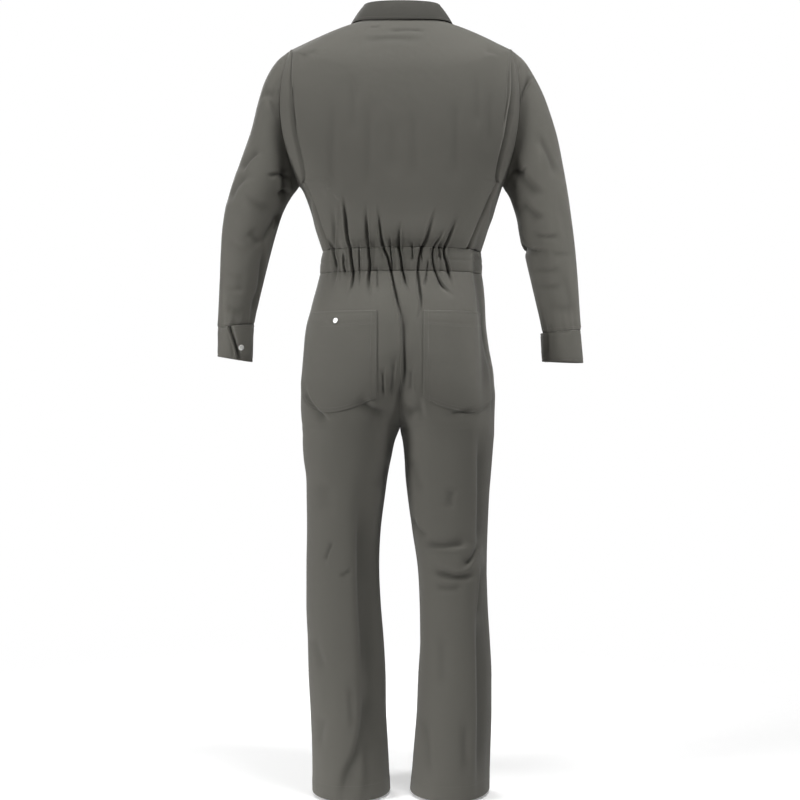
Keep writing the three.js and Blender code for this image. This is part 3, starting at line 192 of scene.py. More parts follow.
def twill(name, colour):
    material = bpy.data.materials.new(name)
    material.use_nodes = True
    shader = material.node_tree.nodes["Principled BSDF"]
    paint = Maths(material.node_tree)
    uv = paint.value("ShaderNodeUVMap", "UV")
    place = paint.value("ShaderNodeTexCoord", "Object")
    across, along = (uv.value("ShaderNodeSeparateXYZ", axis, Vector=uv) for axis in "XY")
    turns = (across + along * WALE_SLOPE) * (2 * math.pi / WALE) + uv.noise(NOISE["wander"]) * WALE_WANDER
    rib = uv.sum_with("SINE", turns)
    grain, bloom = uv.noise(NOISE["grain"]), place.noise(NOISE["bloom"], 3.0)
    # painted shade of folds, pleats and collar, read from each piece's fold attribute
    fold = paint.value("ShaderNodeAttribute", "Fac", {"attribute_name": "fold"})
    plain = bloom * BLOOM_SHADE + grain * GRAIN_SHADE + rib * RIB_SHADE + DARKEST
    dye_and_painted_shade = paint.value(
        "ShaderNodeMix", 2, {"data_type": "RGBA", "blend_type": "MULTIPLY"},
        _0=1.0, _6=(*colour, 1), _7=plain * (1 - fold * FOLD_PAINTED_SHADE),
    )
    dye_and_painted_shade.feeds(shader.inputs["Base Color"])
    (bloom * BLOOM_MATT + MATT).feeds(shader.inputs["Roughness"])
    shader.inputs["Specular IOR Level"].default_value = GLOSS
    shader.inputs["Sheen Weight"].default_value = FUZZ
    shader.inputs["Sheen Roughness"].default_value = FUZZ_ROUGHNESS
    rumple = paint.value("ShaderNodeBump", 0, Height=place.noise(NOISE["rumple"]), **RUMPLE_BUMP)
    relief = rib * RIB_RELIEF + grain * GRAIN_RELIEF
    weave = paint.value("ShaderNodeBump", 0, Height=relief, Normal=rumple, **WALE_BUMP)
    weave.feeds(shader.inputs["Normal"])
    return material


panel_twill = twill("twill", TWILL_GREY)
trim_twill = twill("twill_trim", tuple(TRIM_SHADE * c for c in TWILL_GREY))


# The back is one piece of cloth from side seam to side seam, cut with an action pleat in each
# half: the cloth doubles under itself there, so that it opens when the arms reach forward. It
# blouses a little over the elastic waist, and the folds of the gathers run up it.
MM = 0.001
NECK_BASE = 1540  # height of the frame's origin, at the foot of the collar's back
CLOTH = 1.2  # how thick the wall of cloth is, with its turnings and its nap
WAIST_TOP, WAIST_BOTTOM, UNDERARM = 1095, 1048, 1230
SIDE_SEAM_Y, NECK_SEAM_Y, NECK_SEAM_HEIGHT = -6, 0, 1566
SHOULDER_CROWN = 4
SHOULDER_DROP, SHOULDER_REACH = 9, 26  # how the cloth falls behind the shoulder
SHOULDER_RUN, SHOULDER_FADE = 1.6, 1.25
UNDER_SWELL = 0.5  # what the lower side of a sleeve's head has of the upper side's swell


def table(names, *rows):
    """Rows of numbers as named columns."""
    return dict(zip(names.split(), np.array(rows, float).T))


BODY_WIDTH = table(
    "height left right",
    (1095, 158, 166), (1119, 166, 174), (1144, 174, 182), (1168, 180, 191), (1193, 188, 198),
    (1218, 198, 206), (1230, 205, 210),
)
# Run 0 is the waist seam, 1 the underarm, 2 the shoulder point and 3 the neck seam. Each row is the
# cloth's middle there, and how square the level is towards the side
MIDDLES = {
    "back": table(
        "run y height square",
        (0, 96, 1095, 2.3), (0.15, 105, 1115, 2.3), (0.5, 112, 1162, 2.35), (1, 121, 1230, 2.5),
        (1.5, 129, 1345, 2.6), (2, 121, 1440, 2.5), (2.4, 104, 1490, 2.3), (2.75, 79, 1537, 2.1),
        (3, 60, 1562, 2),
    ),
    "front": table(
        "run y height square",
        (0, -114, 1095, 2.4), (0.15, -120, 1115, 2.4), (0.5, -126, 1162, 2.4), (1, -133, 1230, 2.5),
        (1.5, -135, 1325, 2.5), (2, -120, 1405, 2.4), (2.4, -104, 1442, 2.3), (2.75, -88, 1471, 2.1),
        (3, -77, 1490, 2),
    ),
}
# Stations down a sleeve, from the armhole to the cuff's seam: the outer and inner edges, half the
# depth from front to back, the middle's y, and how far the head of the sleeve swells
SLEEVE_COLUMNS = "at outer_x outer_h inner_x inner_h depth y swell"
SLEEVE = {
    "left": table(
        SLEEVE_COLUMNS,
        (0, 223, 1509, 207, 1230, 66, -6, 26), (1, 252, 1485, 210, 1225, 69, -5, 22),
        (2, 275, 1447, 213, 1221, 71, -4, 15), (3, 291, 1398, 216, 1217, 73, -3, 8),
        (4, 304, 1345, 220, 1212, 74, -2, 3), (5, 322, 1292, 225, 1204, 74, 0, 0),
        (6, 340, 1242, 233, 1190, 72, 1, 0), (7, 355, 1193, 243, 1167, 69, 2, 0),
        (8, 363, 1146, 255, 1128, 65, 2, 0), (9, 367, 1099, 268, 1081, 60, -2, 0),
        (10, 370, 1040, 281, 1031, 55, -8, 0), (11, 373, 988, 292, 988, 50, -15, 0),
        (12, 375, 939, 302, 947, 46, -22, 0),
    ),
    "right": table(
        SLEEVE_COLUMNS,
        (0, 228, 1509, 211, 1230, 66, -6, 20), (1, 254, 1486, 214, 1225, 69, -5, 17),
        (2, 275, 1453, 216, 1221, 71, -4, 12), (3, 293, 1417, 219, 1217, 73, -3, 7),
        (4, 308, 1376, 222, 1212, 74, -2, 3), (5, 322, 1328, 226, 1204, 74, 0, 0),
        (6, 333, 1273, 231, 1190, 72, 1, 0), (7, 343, 1216, 238, 1167, 69, 2, 0),
        (8, 351, 1160, 247, 1129, 65, 2, 0), (9, 359, 1099, 258, 1080, 60, -2, 0),
        (10, 365, 1038, 271, 1027, 55, -8, 0), (11, 369, 986, 283, 978, 50, -15, 0),
        (12, 372, 935, 295, 929, 45, -22, 0),
    ),
}
NECK_POINT_X = {"left": 76, "right": 84}
SIDES = {"left": 1, "right": -1}
BACK, FRONT, ALL_ROUND = 1, -1, 0
FACES = {"back": BACK, "front": FRONT}


def mix(a, b, share):
    return a + (b - a) * share


def smooth(x):
    """An easy rise from 0 at 0 to 1 at 1."""
    x = np.clip(x, 0, 1)
    return x * x * (3 - 2 * x)


def read(rows, key, name, x):
    """A smooth line through one named column of a table, at any values of its key column."""
    order = np.argsort(rows[key])
    xs, ys = rows[key][order], rows[name][order]
    chord = np.diff(ys) / np.diff(xs)
    slope = np.concatenate([chord[:1], (chord[:-1] + chord[1:]) / 2, chord[-1:]])
    slope[1:-1][chord[:-1] * chord[1:] <= 0] = 0
    at = np.clip(x, xs[0], xs[-1])
    i = np.clip(np.searchsorted(xs, at, side="right") - 1, 0, len(xs) - 2)
    width = xs[i + 1] - xs[i]
    s = (at - xs[i]) / width
    start = (1 + 2 * s) * (1 - s) ** 2 * ys[i] + s * (1 - s) ** 2 * width * slope[i]
    return start + s * s * (3 - 2 * s) * ys[i + 1] + s * s * (s - 1) * width * slope[i + 1]


def points(x, y, z):
    return np.stack(np.broadcast_arrays(x, y, z), axis=-1).astype(float)


def sleeve_section(side, at):
    return {name: read(SLEEVE[side], "at", name, at) for name in SLEEVE_COLUMNS.split()[1:]}


def around_arm(side, s, angle):
    """Points at angles round a section of the sleeve, from its outer edge by the back."""
    swell = s["swell"] * np.sin(angle) ** 2 * np.where(np.sin(angle) > 0, 1, UNDER_SWELL)
    inward = (1 - np.cos(angle)) / 2
    x = mix(s["outer_x"], s["inner_x"], inward) + swell
    height = mix(s["outer_h"], s["inner_h"], inward)
    return points(SIDES[side] * x, s["y"] + s["depth"] * np.sin(angle), height)


def bodice_edge(side, face, run):
    """Where a level of the bodice ends: on the side seam, the armhole or the shoulder seam."""
    armhole = sleeve_section(side, 0.0)
    height = mix(WAIST_TOP, UNDERARM, run)
    on_side = read(BODY_WIDTH, "height", side, height), np.full_like(run, SIDE_SEAM_Y), height
    arm = around_arm(side, armhole, FACES[face] * math.pi * (2 - run))
    on_armhole = abs(arm[..., 0]), arm[..., 1], arm[..., 2]
    share = run - 2
    on_shoulder = (
        mix(armhole["outer_x"], NECK_POINT_X[side], share),
        mix(armhole["y"], NECK_SEAM_Y, share),
        mix(armhole["outer_h"], NECK_SEAM_HEIGHT, share) + SHOULDER_CROWN * np.sin(math.pi * share),
    )
    part = [run <= 1, run <= 2]
    return [np.select(part, [a, b], c) for a, b, c in zip(on_side, on_armhole, on_shoulder)]


LEVEL_SAMPLES = 161  # points along each level of a smooth form


def bodice(side, face, runs):
    """The smooth form of half a bodice: a row of points for each run, from the middle outwards."""
    run = np.asarray(runs, float)[:, None]
    middle = {name: read(MIDDLES[face], "run", name, run) for name in ("y", "height", "square")}
    edge_x, edge_y, edge_h = bodice_edge(side, face, run)
    seam_y = np.where(run < 2, SIDE_SEAM_Y, edge_y)
    depth = abs(middle["y"] - seam_y)
    n = middle["square"]
    reached = abs(edge_y - seam_y) / depth
    half_width = edge_x / (1 - reached**n) ** (1 / n)
    last = np.arcsin(np.clip(reached ** (n / 2), 0, 1))
    angle = mix(math.pi / 2, last, np.linspace(0, 1, LEVEL_SAMPLES))
    x = np.minimum(half_width * np.clip(np.cos(angle), 0, 1) ** (2 / n), edge_x)
    y = seam_y + FACES[face] * depth * np.sin(angle) ** (2 / n)
    out = (x / edge_x) ** 2
    fall = smooth((run - SHOULDER_RUN) / (2 - SHOULDER_RUN)) * (1 - smooth((run - 2) * SHOULDER_FADE))
    fall = fall * out * (1 - np.exp(-(((y - edge_y) / SHOULDER_REACH) ** 2)))
    z = mix(middle["height"], edge_h, out) - SHOULDER_DROP * fall
    return points(SIDES[side] * x, y, z)


def lengths(grid):
    """How far along its row each point of a grid lies."""
    steps = np.linalg.norm(np.diff(grid, axis=1), axis=-1)
    return np.concatenate([np.zeros((len(grid), 1)), np.cumsum(steps, axis=1)], axis=1)


LEAST_LENGTH = 1e-12  # keeps a normal finite where points meet


def normals(grid, centre):
    """Unit normals of a grid of points, turned away from the centre."""
    cross = np.cross(np.gradient(grid, axis=1), np.gradient(grid, axis=0))
    cross /= np.linalg.norm(cross, axis=-1, keepdims=True) + LEAST_LENGTH
    facing = np.sum(cross * (grid - centre), axis=-1, keepdims=True)
    return np.where(facing < 0, -cross, cross)


def along_rows(grid, values, wanted):
    """Each row of the grid's values at the wanted distances along that row."""
    at = lengths(grid)
    rows = [
        [np.interp(w, l, v[:, c]) for c in range(v.shape[1])]
        for w, l, v in zip(wanted, at, values)
    ]
    return np.array(rows).transpose(0, 2, 1)


class Form:
    """A smooth form that cloth is raised from: points and normals at distances along its rows."""

    def __init__(self, grid, centre):
        self.grid = grid
        self.normals = normals(grid, centre)
        self.row_length = lengths(grid)[:, -1:]

    def at(self, distance):
        point = along_rows(self.grid, self.grid, distance)
        normal = along_rows(self.grid, self.normals, distance)
        return point, normal / np.linalg.norm(normal, axis=-1, keepdims=True)


def cloth_mesh(name, outer, inner, material, closed=False, fold=None):
    """A wall of cloth between two grids of points, with its weave's UV map in metres, and the painted
    shade that darkens each outer point for lying in a fold, kept as its fold attribute."""
    rows, columns = outer.shape[:2]
    vertices = np.concatenate([outer.reshape(-1, 3), inner.reshape(-1, 3)])
    vertices = (vertices - (0, 0, NECK_BASE)) * MM
    index = np.arange(rows * columns).reshape(rows, columns)
    uv_grid = outer
    if closed:
        index = np.concatenate([index, index[:, :1]], axis=1)
        uv_grid = np.concatenate([outer, outer[:, :1]], axis=1)
    across = lengths(uv_grid)
    across -= across[:, across.shape[1] // 2][:, None]
    up = lengths(uv_grid.transpose(1, 0, 2)).T
    uv = np.stack([across, up], axis=-1).reshape(-1, 2) * MM
    uv_index = np.arange(len(uv)).reshape(across.shape)

    def quads(grid):
        corners = grid[:-1, :-1], grid[:-1, 1:], grid[1:, 1:], grid[1:, :-1]
        return np.stack(corners, axis=-1).reshape(-1, 4)

    def rim(edge, flip):
        a, b = edge[:-1], edge[1:]
        strip = np.stack([a, b, b + rows * columns, a + rows * columns], axis=-1)
        return strip[:, ::-1] if flip else strip

    def rim_uv(edge, flip):
        strip = np.stack([edge[:-1], edge[1:], edge[1:], edge[:-1]], axis=-1)
        return strip[:, ::-1] if flip else strip

    face_parts = [quads(index), quads(index)[:, ::-1] + rows * columns]
    uv_parts = [quads(uv_index), quads(uv_index)[:, ::-1]]
    edges = [(index[0], uv_index[0], True), (index[-1], uv_index[-1], False)]
    if not closed:
        edges += [(index[:, 0], uv_index[:, 0], False), (index[:, -1], uv_index[:, -1], True)]
    for edge, uv_edge, flip in edges:
        face_parts.append(rim(edge, flip))
        uv_parts.append(rim_uv(uv_edge, flip))
    faces, uv_faces = np.concatenate(face_parts), np.concatenate(uv_parts)
    a, b, c, d = (vertices[faces[:, i]] for i in range(4))
    volume = np.sum(a * np.cross(b, c)) + np.sum(a * np.cross(c, d))
    if volume < 0:
        faces, uv_faces = faces[:, ::-1], uv_faces[:, ::-1]
    mesh = bpy.data.meshes.new(name)
    mesh.from_pydata(vertices.tolist(), [], faces.tolist())
    layer = mesh.uv_layers.new(name="UVMap")
    layer.data.foreach_set("uv", uv[uv_faces.reshape(-1)].reshape(-1))
    # painted shade: how much the outer points are darkened for lying in folds
    if fold is not None:
        painted_shades = np.concatenate([np.clip(fold, 0, 1).reshape(-1), np.zeros(rows * columns)])
        mesh.attributes.new("fold", "FLOAT", "POINT").data.foreach_set("value", painted_shades)
    soft = np.zeros(len(faces), bool)
    soft[: 2 * len(face_parts[0])] = True
    mesh.polygons.foreach_set("use_smooth", soft)
    mesh.materials.append(material)
    mesh.update()
    piece = bpy.data.objects.new(f"{name}_cloth", mesh)
    bpy.context.scene.collection.objects.link(piece)
    return piece


def raised(point, normal, rise):
    """The outer and inner points of cloth that lies a little over a form."""
    outer = point + normal * rise[..., None]
    return outer, outer - normal * CLOTH


def groove(distance, at, width, depth):
    """A shallow groove along a line of stitches, or the rounding of an edge."""
    return -depth * np.exp(-(((distance - at) / width) ** 2))


seam_lines = []  # lines of stitches, each a run of points in millimetres


def stitched(outer, *rows_or_columns):
    """Marks lines of stitches along rows or columns of a piece's outer grid."""
    for axis, index in rows_or_columns:
        seam_lines.append(outer[index] if axis == "row" else outer[:, index])


# Small gathers of the elastic, and longer folds that run through it from the back to the seat. In
# this list and in those of creases, a row gives the side of the suit, the width, the depth and how
# much steeper one flank is, then the corners of the line that it follows, by x and height
GATHER_RUN = 14  # how far a gather runs on past the band's seams
GATHERS = table(
    "x width depth",
    (142, 4, 1.2), (121, 4, 2.0), (104, 4, 1.8), (88, 5, 2.0), (77, 4, 1.4), (70, 4, 1.6),
    (50, 4, 1.8), (34, 4, 1.4), (9, 4, 1.6), (-21, 4, 1.8), (-45, 3, 1.4), (-80, 4, 1.8),
)
WAIST_FOLDS = (
    (BACK, 3.2, 8, 0.6, (112, 1206), (110, 1160), (106, 1118), (100, 1090), (97, 1064), (95, 1043),
     (97, 1018), (103, 980)),
    (BACK, 3, 7.5, 1.6, (66, 1184), (63, 1118), (60, 1080), (57, 1058), (61, 1040), (60, 1016),
     (61, 982)),
    (BACK, 3, 8.5, 0.6, (45, 1186), (42, 1136), (37, 1098), (27, 1080), (22, 1058), (17, 1036),
     (14, 1016), (3, 970), (-5, 930)),
    (BACK, 2, 5, 1.6, (19, 1122), (18, 1090), (15, 1066), (13, 1040)),
    (BACK, 3, 8.5, 1.7, (-1, 1148), (1, 1096), (-3, 1078), (-6, 1050), (-11, 1034), (-17, 998)),
    (BACK, 3, 7, 0.65, (-74, 1176), (-57, 1136), (-53, 1120), (-48, 1104), (-37, 1084), (-33, 1048),
     (-36, 1022), (-40, 990), (-39, 968), (-31, 936)),
    (BACK, 2.6, 7, 1.6, (-92, 1134), (-70, 1100), (-65, 1085), (-66, 1064), (-73, 1042), (-86, 1015),
     (-110, 998)),
    (BACK, 3.2, 8.5, 1.7, (-116, 1160), (-98, 1114), (-87, 1087), (-94, 1066), (-99, 1046),
     (-103, 1014)),
    (BACK, 2, 5, 1.6, (-57, 1076), (-54, 1044), (-49, 1012)),
    (BACK, 4.5, 5, 1.3, (132, 1184), (131, 1134), (134, 1088), (128, 1064), (129, 1044), (136, 1006)),
    (BACK, 2, 5, 0.6, (112, 1090), (114, 1066), (109, 1036)),
    (BACK, 2, 4.5, 1.6, (-26, 1108), (-25, 1086), (-28, 1064)),
    (BACK, 2, 4, 0.6, (-77, 1108), (-76, 1090), (-79, 1066)),
    (BACK, 2, 4, 1.6, (81, 1114), (80, 1080), (80, 1040), (78, 1010)),
    (BACK, 2, 3.5, 1.6, (44, 1064), (45, 1040), (43, 1004)),
    (BACK, 2.5, 5, 0.6, (146, 1120), (138, 1096), (131, 1074), (126, 1050)),
    (BACK, 2, 3, 1.6, (-38, 1108), (-42, 1090), (-45, 1060)),
    # The last two rows are shallow troughs down the right hip whose painted shade darkens the side where
    # it turns away from the light.
    (3 * BACK, 9, 5, 1, (-186, 1230), (-174, 1170), (-160, 1110), (-151, 1072), (-160, 1000),
     (-163, 940), (-166, 870), (-166, 780), (-165, 700)),
    (4 * BACK, 9, 5, 1, (-190, 1200), (-180, 1150), (-166, 1100), (-160, 1060), (-168, 1000),
     (-171, 930), (-175, 860), (-176, 780), (-173, 700)),
)


def hollows(rows, x):
    """Narrow troughs side by side."""
    total = np.zeros(np.shape(x))
    for at, width, depth in zip(rows["x"], rows["width"], rows["depth"]):
        t = (x - at) / width
        total -= depth * np.exp(-t * t)
    return total


LINE_REACH = 5  # widths from a fold's line past which it has no effect
FOLD_MIDDLE, FOLD_ENDS = 0.72, 0.9  # a fold's width at its middle, and what its ends add
FOLD_TAPER = 0.3  # share of a fold's length over which it fades at each end
FACING_GAIN, FACING_FLOOR = 2.5, 0.25  # how a fold fades where the cloth turns to the other side


def near_lines(lines, point, normal):
    """For each fold's line: the points near it, how far across it each lies, in widths, and how
    strong the fold is there. A side of more than BACK reaches further round the hip."""
    place = point[..., (0, 2)]
    for face, width, depth, steep, *corners in lines:
        line = np.array(corners, float)
        for _ in range(2):  # rounds the corners of the line
            cuts = [mix(line[:-1], line[1:], share) for share in (0.25, 0.75)]
            line = np.concatenate([line[:1], np.stack(cuts, axis=1).reshape(-1, 2), line[-1:]])
        low, high = line.min(axis=0) - LINE_REACH * width, line.max(axis=0) + LINE_REACH * width
        near = np.all((place > low) & (place < high), axis=-1)
        at = place[near]
        best, before = np.full(len(at), np.inf), 0
        off, along = np.zeros(len(at)), np.zeros(len(at))
        for start, end in zip(line, line[1:]):
            step = end - start
            length = math.hypot(*step)
            from_start = at - start
            share = np.clip(from_start @ step / length**2, 0, 1)
            across = (from_start[:, 0] * step[1] - from_start[:, 1] * step[0]) / length
            distance = np.linalg.norm(from_start - share[:, None] * step, axis=1)
            nearer = distance < best
            best = np.where(nearer, distance, best)
            off = np.where(nearer, np.copysign(distance, across), off)
            along = np.where(nearer, before + share * length, along)
            before += length
        done = along / before
        t = off / width / (FOLD_MIDDLE + FOLD_ENDS * (2 * done - 1) ** 2)
        t = np.where(t > 0, t * steep, t / steep) * (1 if steep >= 1 else -1)
        taper = smooth(done / FOLD_TAPER) * smooth((1 - done) / FOLD_TAPER)
        facing = smooth(normal[near][:, 1] * face * FACING_GAIN + (FACING_FLOOR if face else 1))
        yield near, t, facing * taper, width, depth


RIDGE, RIDGE_AT, RIDGE_POINT = 0.36, 1.6, 1.4  # share of the depth, widths from the line, sharpness
BROAD, BROADENING = 14, 8  # a fold as wide as this has no ridge, and a narrower one has more


def creases(lines, point, normal):
    """Troughs along lines, each steeper on one side, with a slight ridge beside the steep side."""
    total = np.zeros(point.shape[:-1])
    for near, t, strength, width, depth in near_lines(lines, point, normal):
        share = RIDGE * np.clip((BROAD - width) / BROADENING, 0, 1)
        ridge = share * np.exp(-RIDGE_POINT * (t - RIDGE_AT) ** 2)
        total[near] += strength * depth * (ridge - np.exp(-t * t))
    return total


DEEPEST, DEEPENING, DEEP_POINT = 0.55, 0.9, 1.7  # of a fold's painted shade: most, gain and sharpness


def painted_fold_shade(lines, point, normal):
    """How much of a fold's painted shade each point has: the most in the bottom of a deep, narrow one."""
    total = np.zeros(point.shape[:-1])
    for near, t, strength, width, depth in near_lines(lines, point, normal):
        shade = min(DEEPEST, DEEPENING * depth / width)
        total[near] += strength**3 * np.exp(-DEEP_POINT * t * t) * shade
    return total


BLOUSE = {"rise": 4, "within": 20, "until": 120, "plain_x": 150, "full_x": 80}
PLEAT_LINE = table(
    "run left right open_left open_right",
    (0, 0.72, 0.638, 2.5, 10), (0.5, 0.755, 0.7, 2.5, 10), (1, 0.78, 0.757, 2, 8),
    (1.5, 0.84, 0.87, 1, 5), (1.8, 0.88, 0.915, 0.5, 3), (3, 0.9, 0.93, 0, 0),
)
PLEAT_CLOSES = table(
    "run depth turn", (0, 1, 1), (1.4, 1, 1), (1.62, 0, 1), (1.85, 0, 1), (1.96, 0, 0), (3, 0, 0),
)
PLEAT_DEPTH, PLEAT_LEAST, PLEAT_RADIUS = 20, 1.5, 0.95
PLEAT_CLEAR, PLEAT_EASE = 2, 13  # past the fold's edge, where the under cloth is low and then rises
PLEAT_ROOM = 0.9  # most of the cloth past the pleat that it may take to rise
PLEAT_PAINTED_SHADOW_REACH, PLEAT_GAPE = 7, 3.5  # how far the painted shadow inside the pleat reaches, and how open the pleat is for all of it
FLAT_SHARES = np.concatenate([np.linspace(0, 0.9, 86), np.linspace(0.9, 1, 12)[1:]])
BEYOND_SHARES = np.concatenate([np.linspace(0, 0.7, 34), np.linspace(0.7, 1, 13)[1:]])[1:]
TURN_SHARES = np.linspace(0, 1, 7)
BODICE_CENTRE = np.array([0, SIDE_SEAM_Y, 1290.0])
BACK_CREASES = (
    (BACK, 3.5, 1.8, 1.5, (30, 1526), (-14, 1531), (-58, 1527)),
    (BACK, 3.5, 1.2, 1.5, (64, 1538), (38, 1538)),
    (BACK, 8, 1.8, 1.4, (90, 1504), (20, 1512), (-60, 1506)),
    (BACK, 13, 1.8, 1, (133, 1420), (134, 1180)),
    (BACK, 12, 1.8, 1, (61, 1400), (62, 1290), (64, 1180)),
    (BACK, 12, 1.6, 1, (-24, 1390), (-30, 1200)), (BACK, 10, 1.8, 1, (-109, 1410), (-110, 1200)),
    (BACK, 10, 1.6, 1, (-150, 1455), (-154, 1320)), (BACK, 9, 1.5, 1, (-176, 1430), (-178, 1280)),
    (BACK, 14, 1.2, 1, (12, 1360), (14, 1220)), (BACK, 12, 1.4, 1, (92, 1440), (94, 1300)),
    (BACK, 10, 2.2, 1.3, (205, 1478), (160, 1488)), (BACK, 10, 1.8, 1.3, (-205, 1482), (-165, 1490)),
    (BACK, 6, 2.4, 1.3, (186, 1216), (178, 1140)), (BACK, 6, 2.2, 0.8, (-190, 1200), (-182, 1130)),
    (BACK, 3, 7, 0.55, (-222, 1486), (-214, 1405), (-212, 1372), (-202, 1320)),
    (BACK, 2.5, 3, 0.6, (217, 1440), (213, 1370), (207, 1320)),
)


def pleated_half(side, runs):
    """Outer and inner points of half the back, whose cloth doubles under itself at the pleat."""
    form = Form(bodice(side, "back", runs), BODICE_CENTRE)
    run = runs[:, None]
    edge = read(PLEAT_LINE, "run", side, run) * form.row_length
    opened = read(PLEAT_LINE, "run", f"open_{side}", run)
    turn = math.pi * read(PLEAT_CLOSES, "run", "turn", run)
    fold = mix(PLEAT_LEAST, PLEAT_DEPTH, read(PLEAT_CLOSES, "run", "depth", run))
    r, half, zero = PLEAT_RADIUS, CLOTH / 2, np.zeros_like

    # The cloth's middle line, as distances along the form and depths below its surface
    start = edge - r - half
    flat_s = start * FLAT_SHARES
    turning = turn * TURN_SHARES
    edge_s, edge_d = start + r * np.sin(turning), half + r * (1 - np.cos(turning))
    back = TURN_SHARES[None, 1:]
    under_s = edge_s[:, -1:] + fold * back * np.cos(turn)
    under_d = edge_d[:, -1:] + fold * back * np.sin(turn) + opened * smooth(back)
    heading = turn * (1 - back)
    inner_s = under_s[:, -1:] + r * (np.sin(turn) - np.sin(heading))
    inner_d = under_d[:, -1:] + r * (np.cos(heading) - np.cos(turn))
    rest_s = mix(inner_s[:, -1:], form.row_length, BEYOND_SHARES)
    room = np.minimum(PLEAT_EASE, (form.row_length - edge - PLEAT_CLEAR) * PLEAT_ROOM)
    rest_d = half + (inner_d[:, -1:] - half) * (1 - smooth((rest_s - edge - PLEAT_CLEAR) / room))
    s = np.concatenate([flat_s, edge_s, under_s, inner_s, rest_s], axis=1)
    d = np.concatenate([zero(flat_s) + half, edge_d, under_d, inner_d, rest_d], axis=1)
    angle = np.concatenate([zero(flat_s), turning, turn + zero(under_s), heading, zero(rest_s)], axis=1)

    def wall_side(sign):
        distance = s + sign * half * np.sin(angle)
        depth = d - sign * half * np.cos(angle)
        point, normal = form.at(np.clip(distance, 0, form.row_length))
        x, away = point[..., 0], (UNDERARM - WAIST_TOP) * run
        full = smooth((BLOUSE["plain_x"] - abs(x)) / (BLOUSE["plain_x"] - BLOUSE["full_x"]))
        full = full * smooth(away / BLOUSE["within"]) * smooth(1 - away / BLOUSE["until"])
        rise = BLOUSE["rise"] * full + hollows(GATHERS, x) * np.exp(-away / GATHER_RUN)
        rise += creases(WAIST_FOLDS + BACK_CREASES, point, normal)
        shade = painted_fold_shade(WAIST_FOLDS + BACK_CREASES, point, normal)
        return point + normal * (rise - depth)[..., None], shade

    (outer, crease_painted_shade), (inner, _) = wall_side(1), wall_side(-1)
    # painted shadow inside the opened pleat, just past its fold's edge, joined to the folds' painted
    # shade
    pleat_painted_shadow = np.where(s > edge, np.exp(-(((s - edge) / PLEAT_PAINTED_SHADOW_REACH) ** 2)), 0)
    return outer, inner, np.maximum(crease_painted_shade, pleat_painted_shadow * np.minimum(1, opened / PLEAT_GAPE))


def spaced(start, *parts):
    """Values from a start through every stop; each part gives its step and the stops it leads to."""
    values, at = [[start]], start
    for step, *stops in parts:
        for stop in stops:
            values.append(np.linspace(at, stop, max(2, int(abs(stop - at) / step) + 1))[1:])
            at = stop
    return np.concatenate(values)


back_runs = spaced(0, (0.012, 0.16), (0.024, 1, 2, 2.5, 3))
halves = zip(pleated_half("left", back_runs), pleated_half("right", back_runs))
# fold is the painted shade of the back's folds and of the shadow inside its pleats
back_outer, back_inner, fold = (np.concatenate([a[:, :0:-1], b], axis=1) for a, b in halves)
back = cloth_mesh("back", back_outer, back_inner, panel_twill, fold=fold)
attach(back, "root")
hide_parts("back")
stitched(back_outer, ("row", 2), ("row", -5), ("column", 3), ("column", -4))


# The fronts are a left and a right, plain from the shoulder to the waist. They meet edge to edge
# under the placket, and are slightly full above the waist seam.
FOLD_COLUMNS = "x far_x reach width depth"
FRONT_WAIST_FOLDS = table(
    FOLD_COLUMNS,
    (132, 138, 72, 9, 4), (112, 114, 40, 7, 3), (92, 96, 108, 10, 5), (72, 74, 44, 7, 3),
    (52, 60, 76, 9, 4), (-50, -52, 90, 9, 4), (-72, -76, 46, 7, 3), (-94, -104, 112, 10, 5),
    (-114, -118, 38, 7, 3), (-136, -142, 66, 9, 4),
)
FRONT_CREASES = (
    (FRONT, 20, 4, 1.3, (206, 1420), (120, 1330)), (FRONT, 20, 4, 1.3, (-208, 1424), (-118, 1338)),
    (FRONT, 18, 4, 1.3, (190, 1290), (110, 1236)), (FRONT, 18, 4, 1.3, (-192, 1296), (-108, 1230)),
    (FRONT, 22, 3, 1.3, (60, 1400), (66, 1250)), (FRONT, 22, 3, 1.3, (-66, 1410), (-58, 1260)),
    (FRONT, 14, 3, 1.3, (150, 1210), (128, 1120)), (FRONT, 14, 3, 1.3, (-150, 1214), (-132, 1124)),
)
FRONT_SHARES = spaced(0, (0.018, 0.95), (0.008, 1))
front_runs = spaced(0, (0.012, 0.16), (0.026, 1, 2, 3))
PLACKET_CLEAR, PLACKET_BLEND = 24, 20
SEAM_FOLD = {"start": 9, "spread": 0.5, "fade": 1.25, "ridge": 0.42, "ridge_at": 1.75}


def seam_folds(rows, x, away):
    """Folds that spread and fade away from a seam, with a slight ridge on both sides of each."""
    total = np.zeros(np.broadcast(x, away).shape)
    for at, far_x, reach, width, depth in zip(*(rows[c] for c in FOLD_COLUMNS.split())):
        share = np.clip(away / reach, 0, 1)
        t = (x - mix(at, far_x, share)) / (width * (1 + SEAM_FOLD["spread"] * share))
        fade = (1 - share) ** SEAM_FOLD["fade"] * smooth(away / SEAM_FOLD["start"])
        ridges = SEAM_FOLD["ridge"] * np.exp(-((abs(t) - SEAM_FOLD["ridge_at"]) ** 2) * 2)
        total += fade * depth * (ridges - np.exp(-t * t))
    return total


def clear_of_placket(x):
    """Keeps folds out of the strip under the placket, and lets them rise beside it."""
    return smooth((abs(x) - PLACKET_CLEAR) / PLACKET_BLEND)


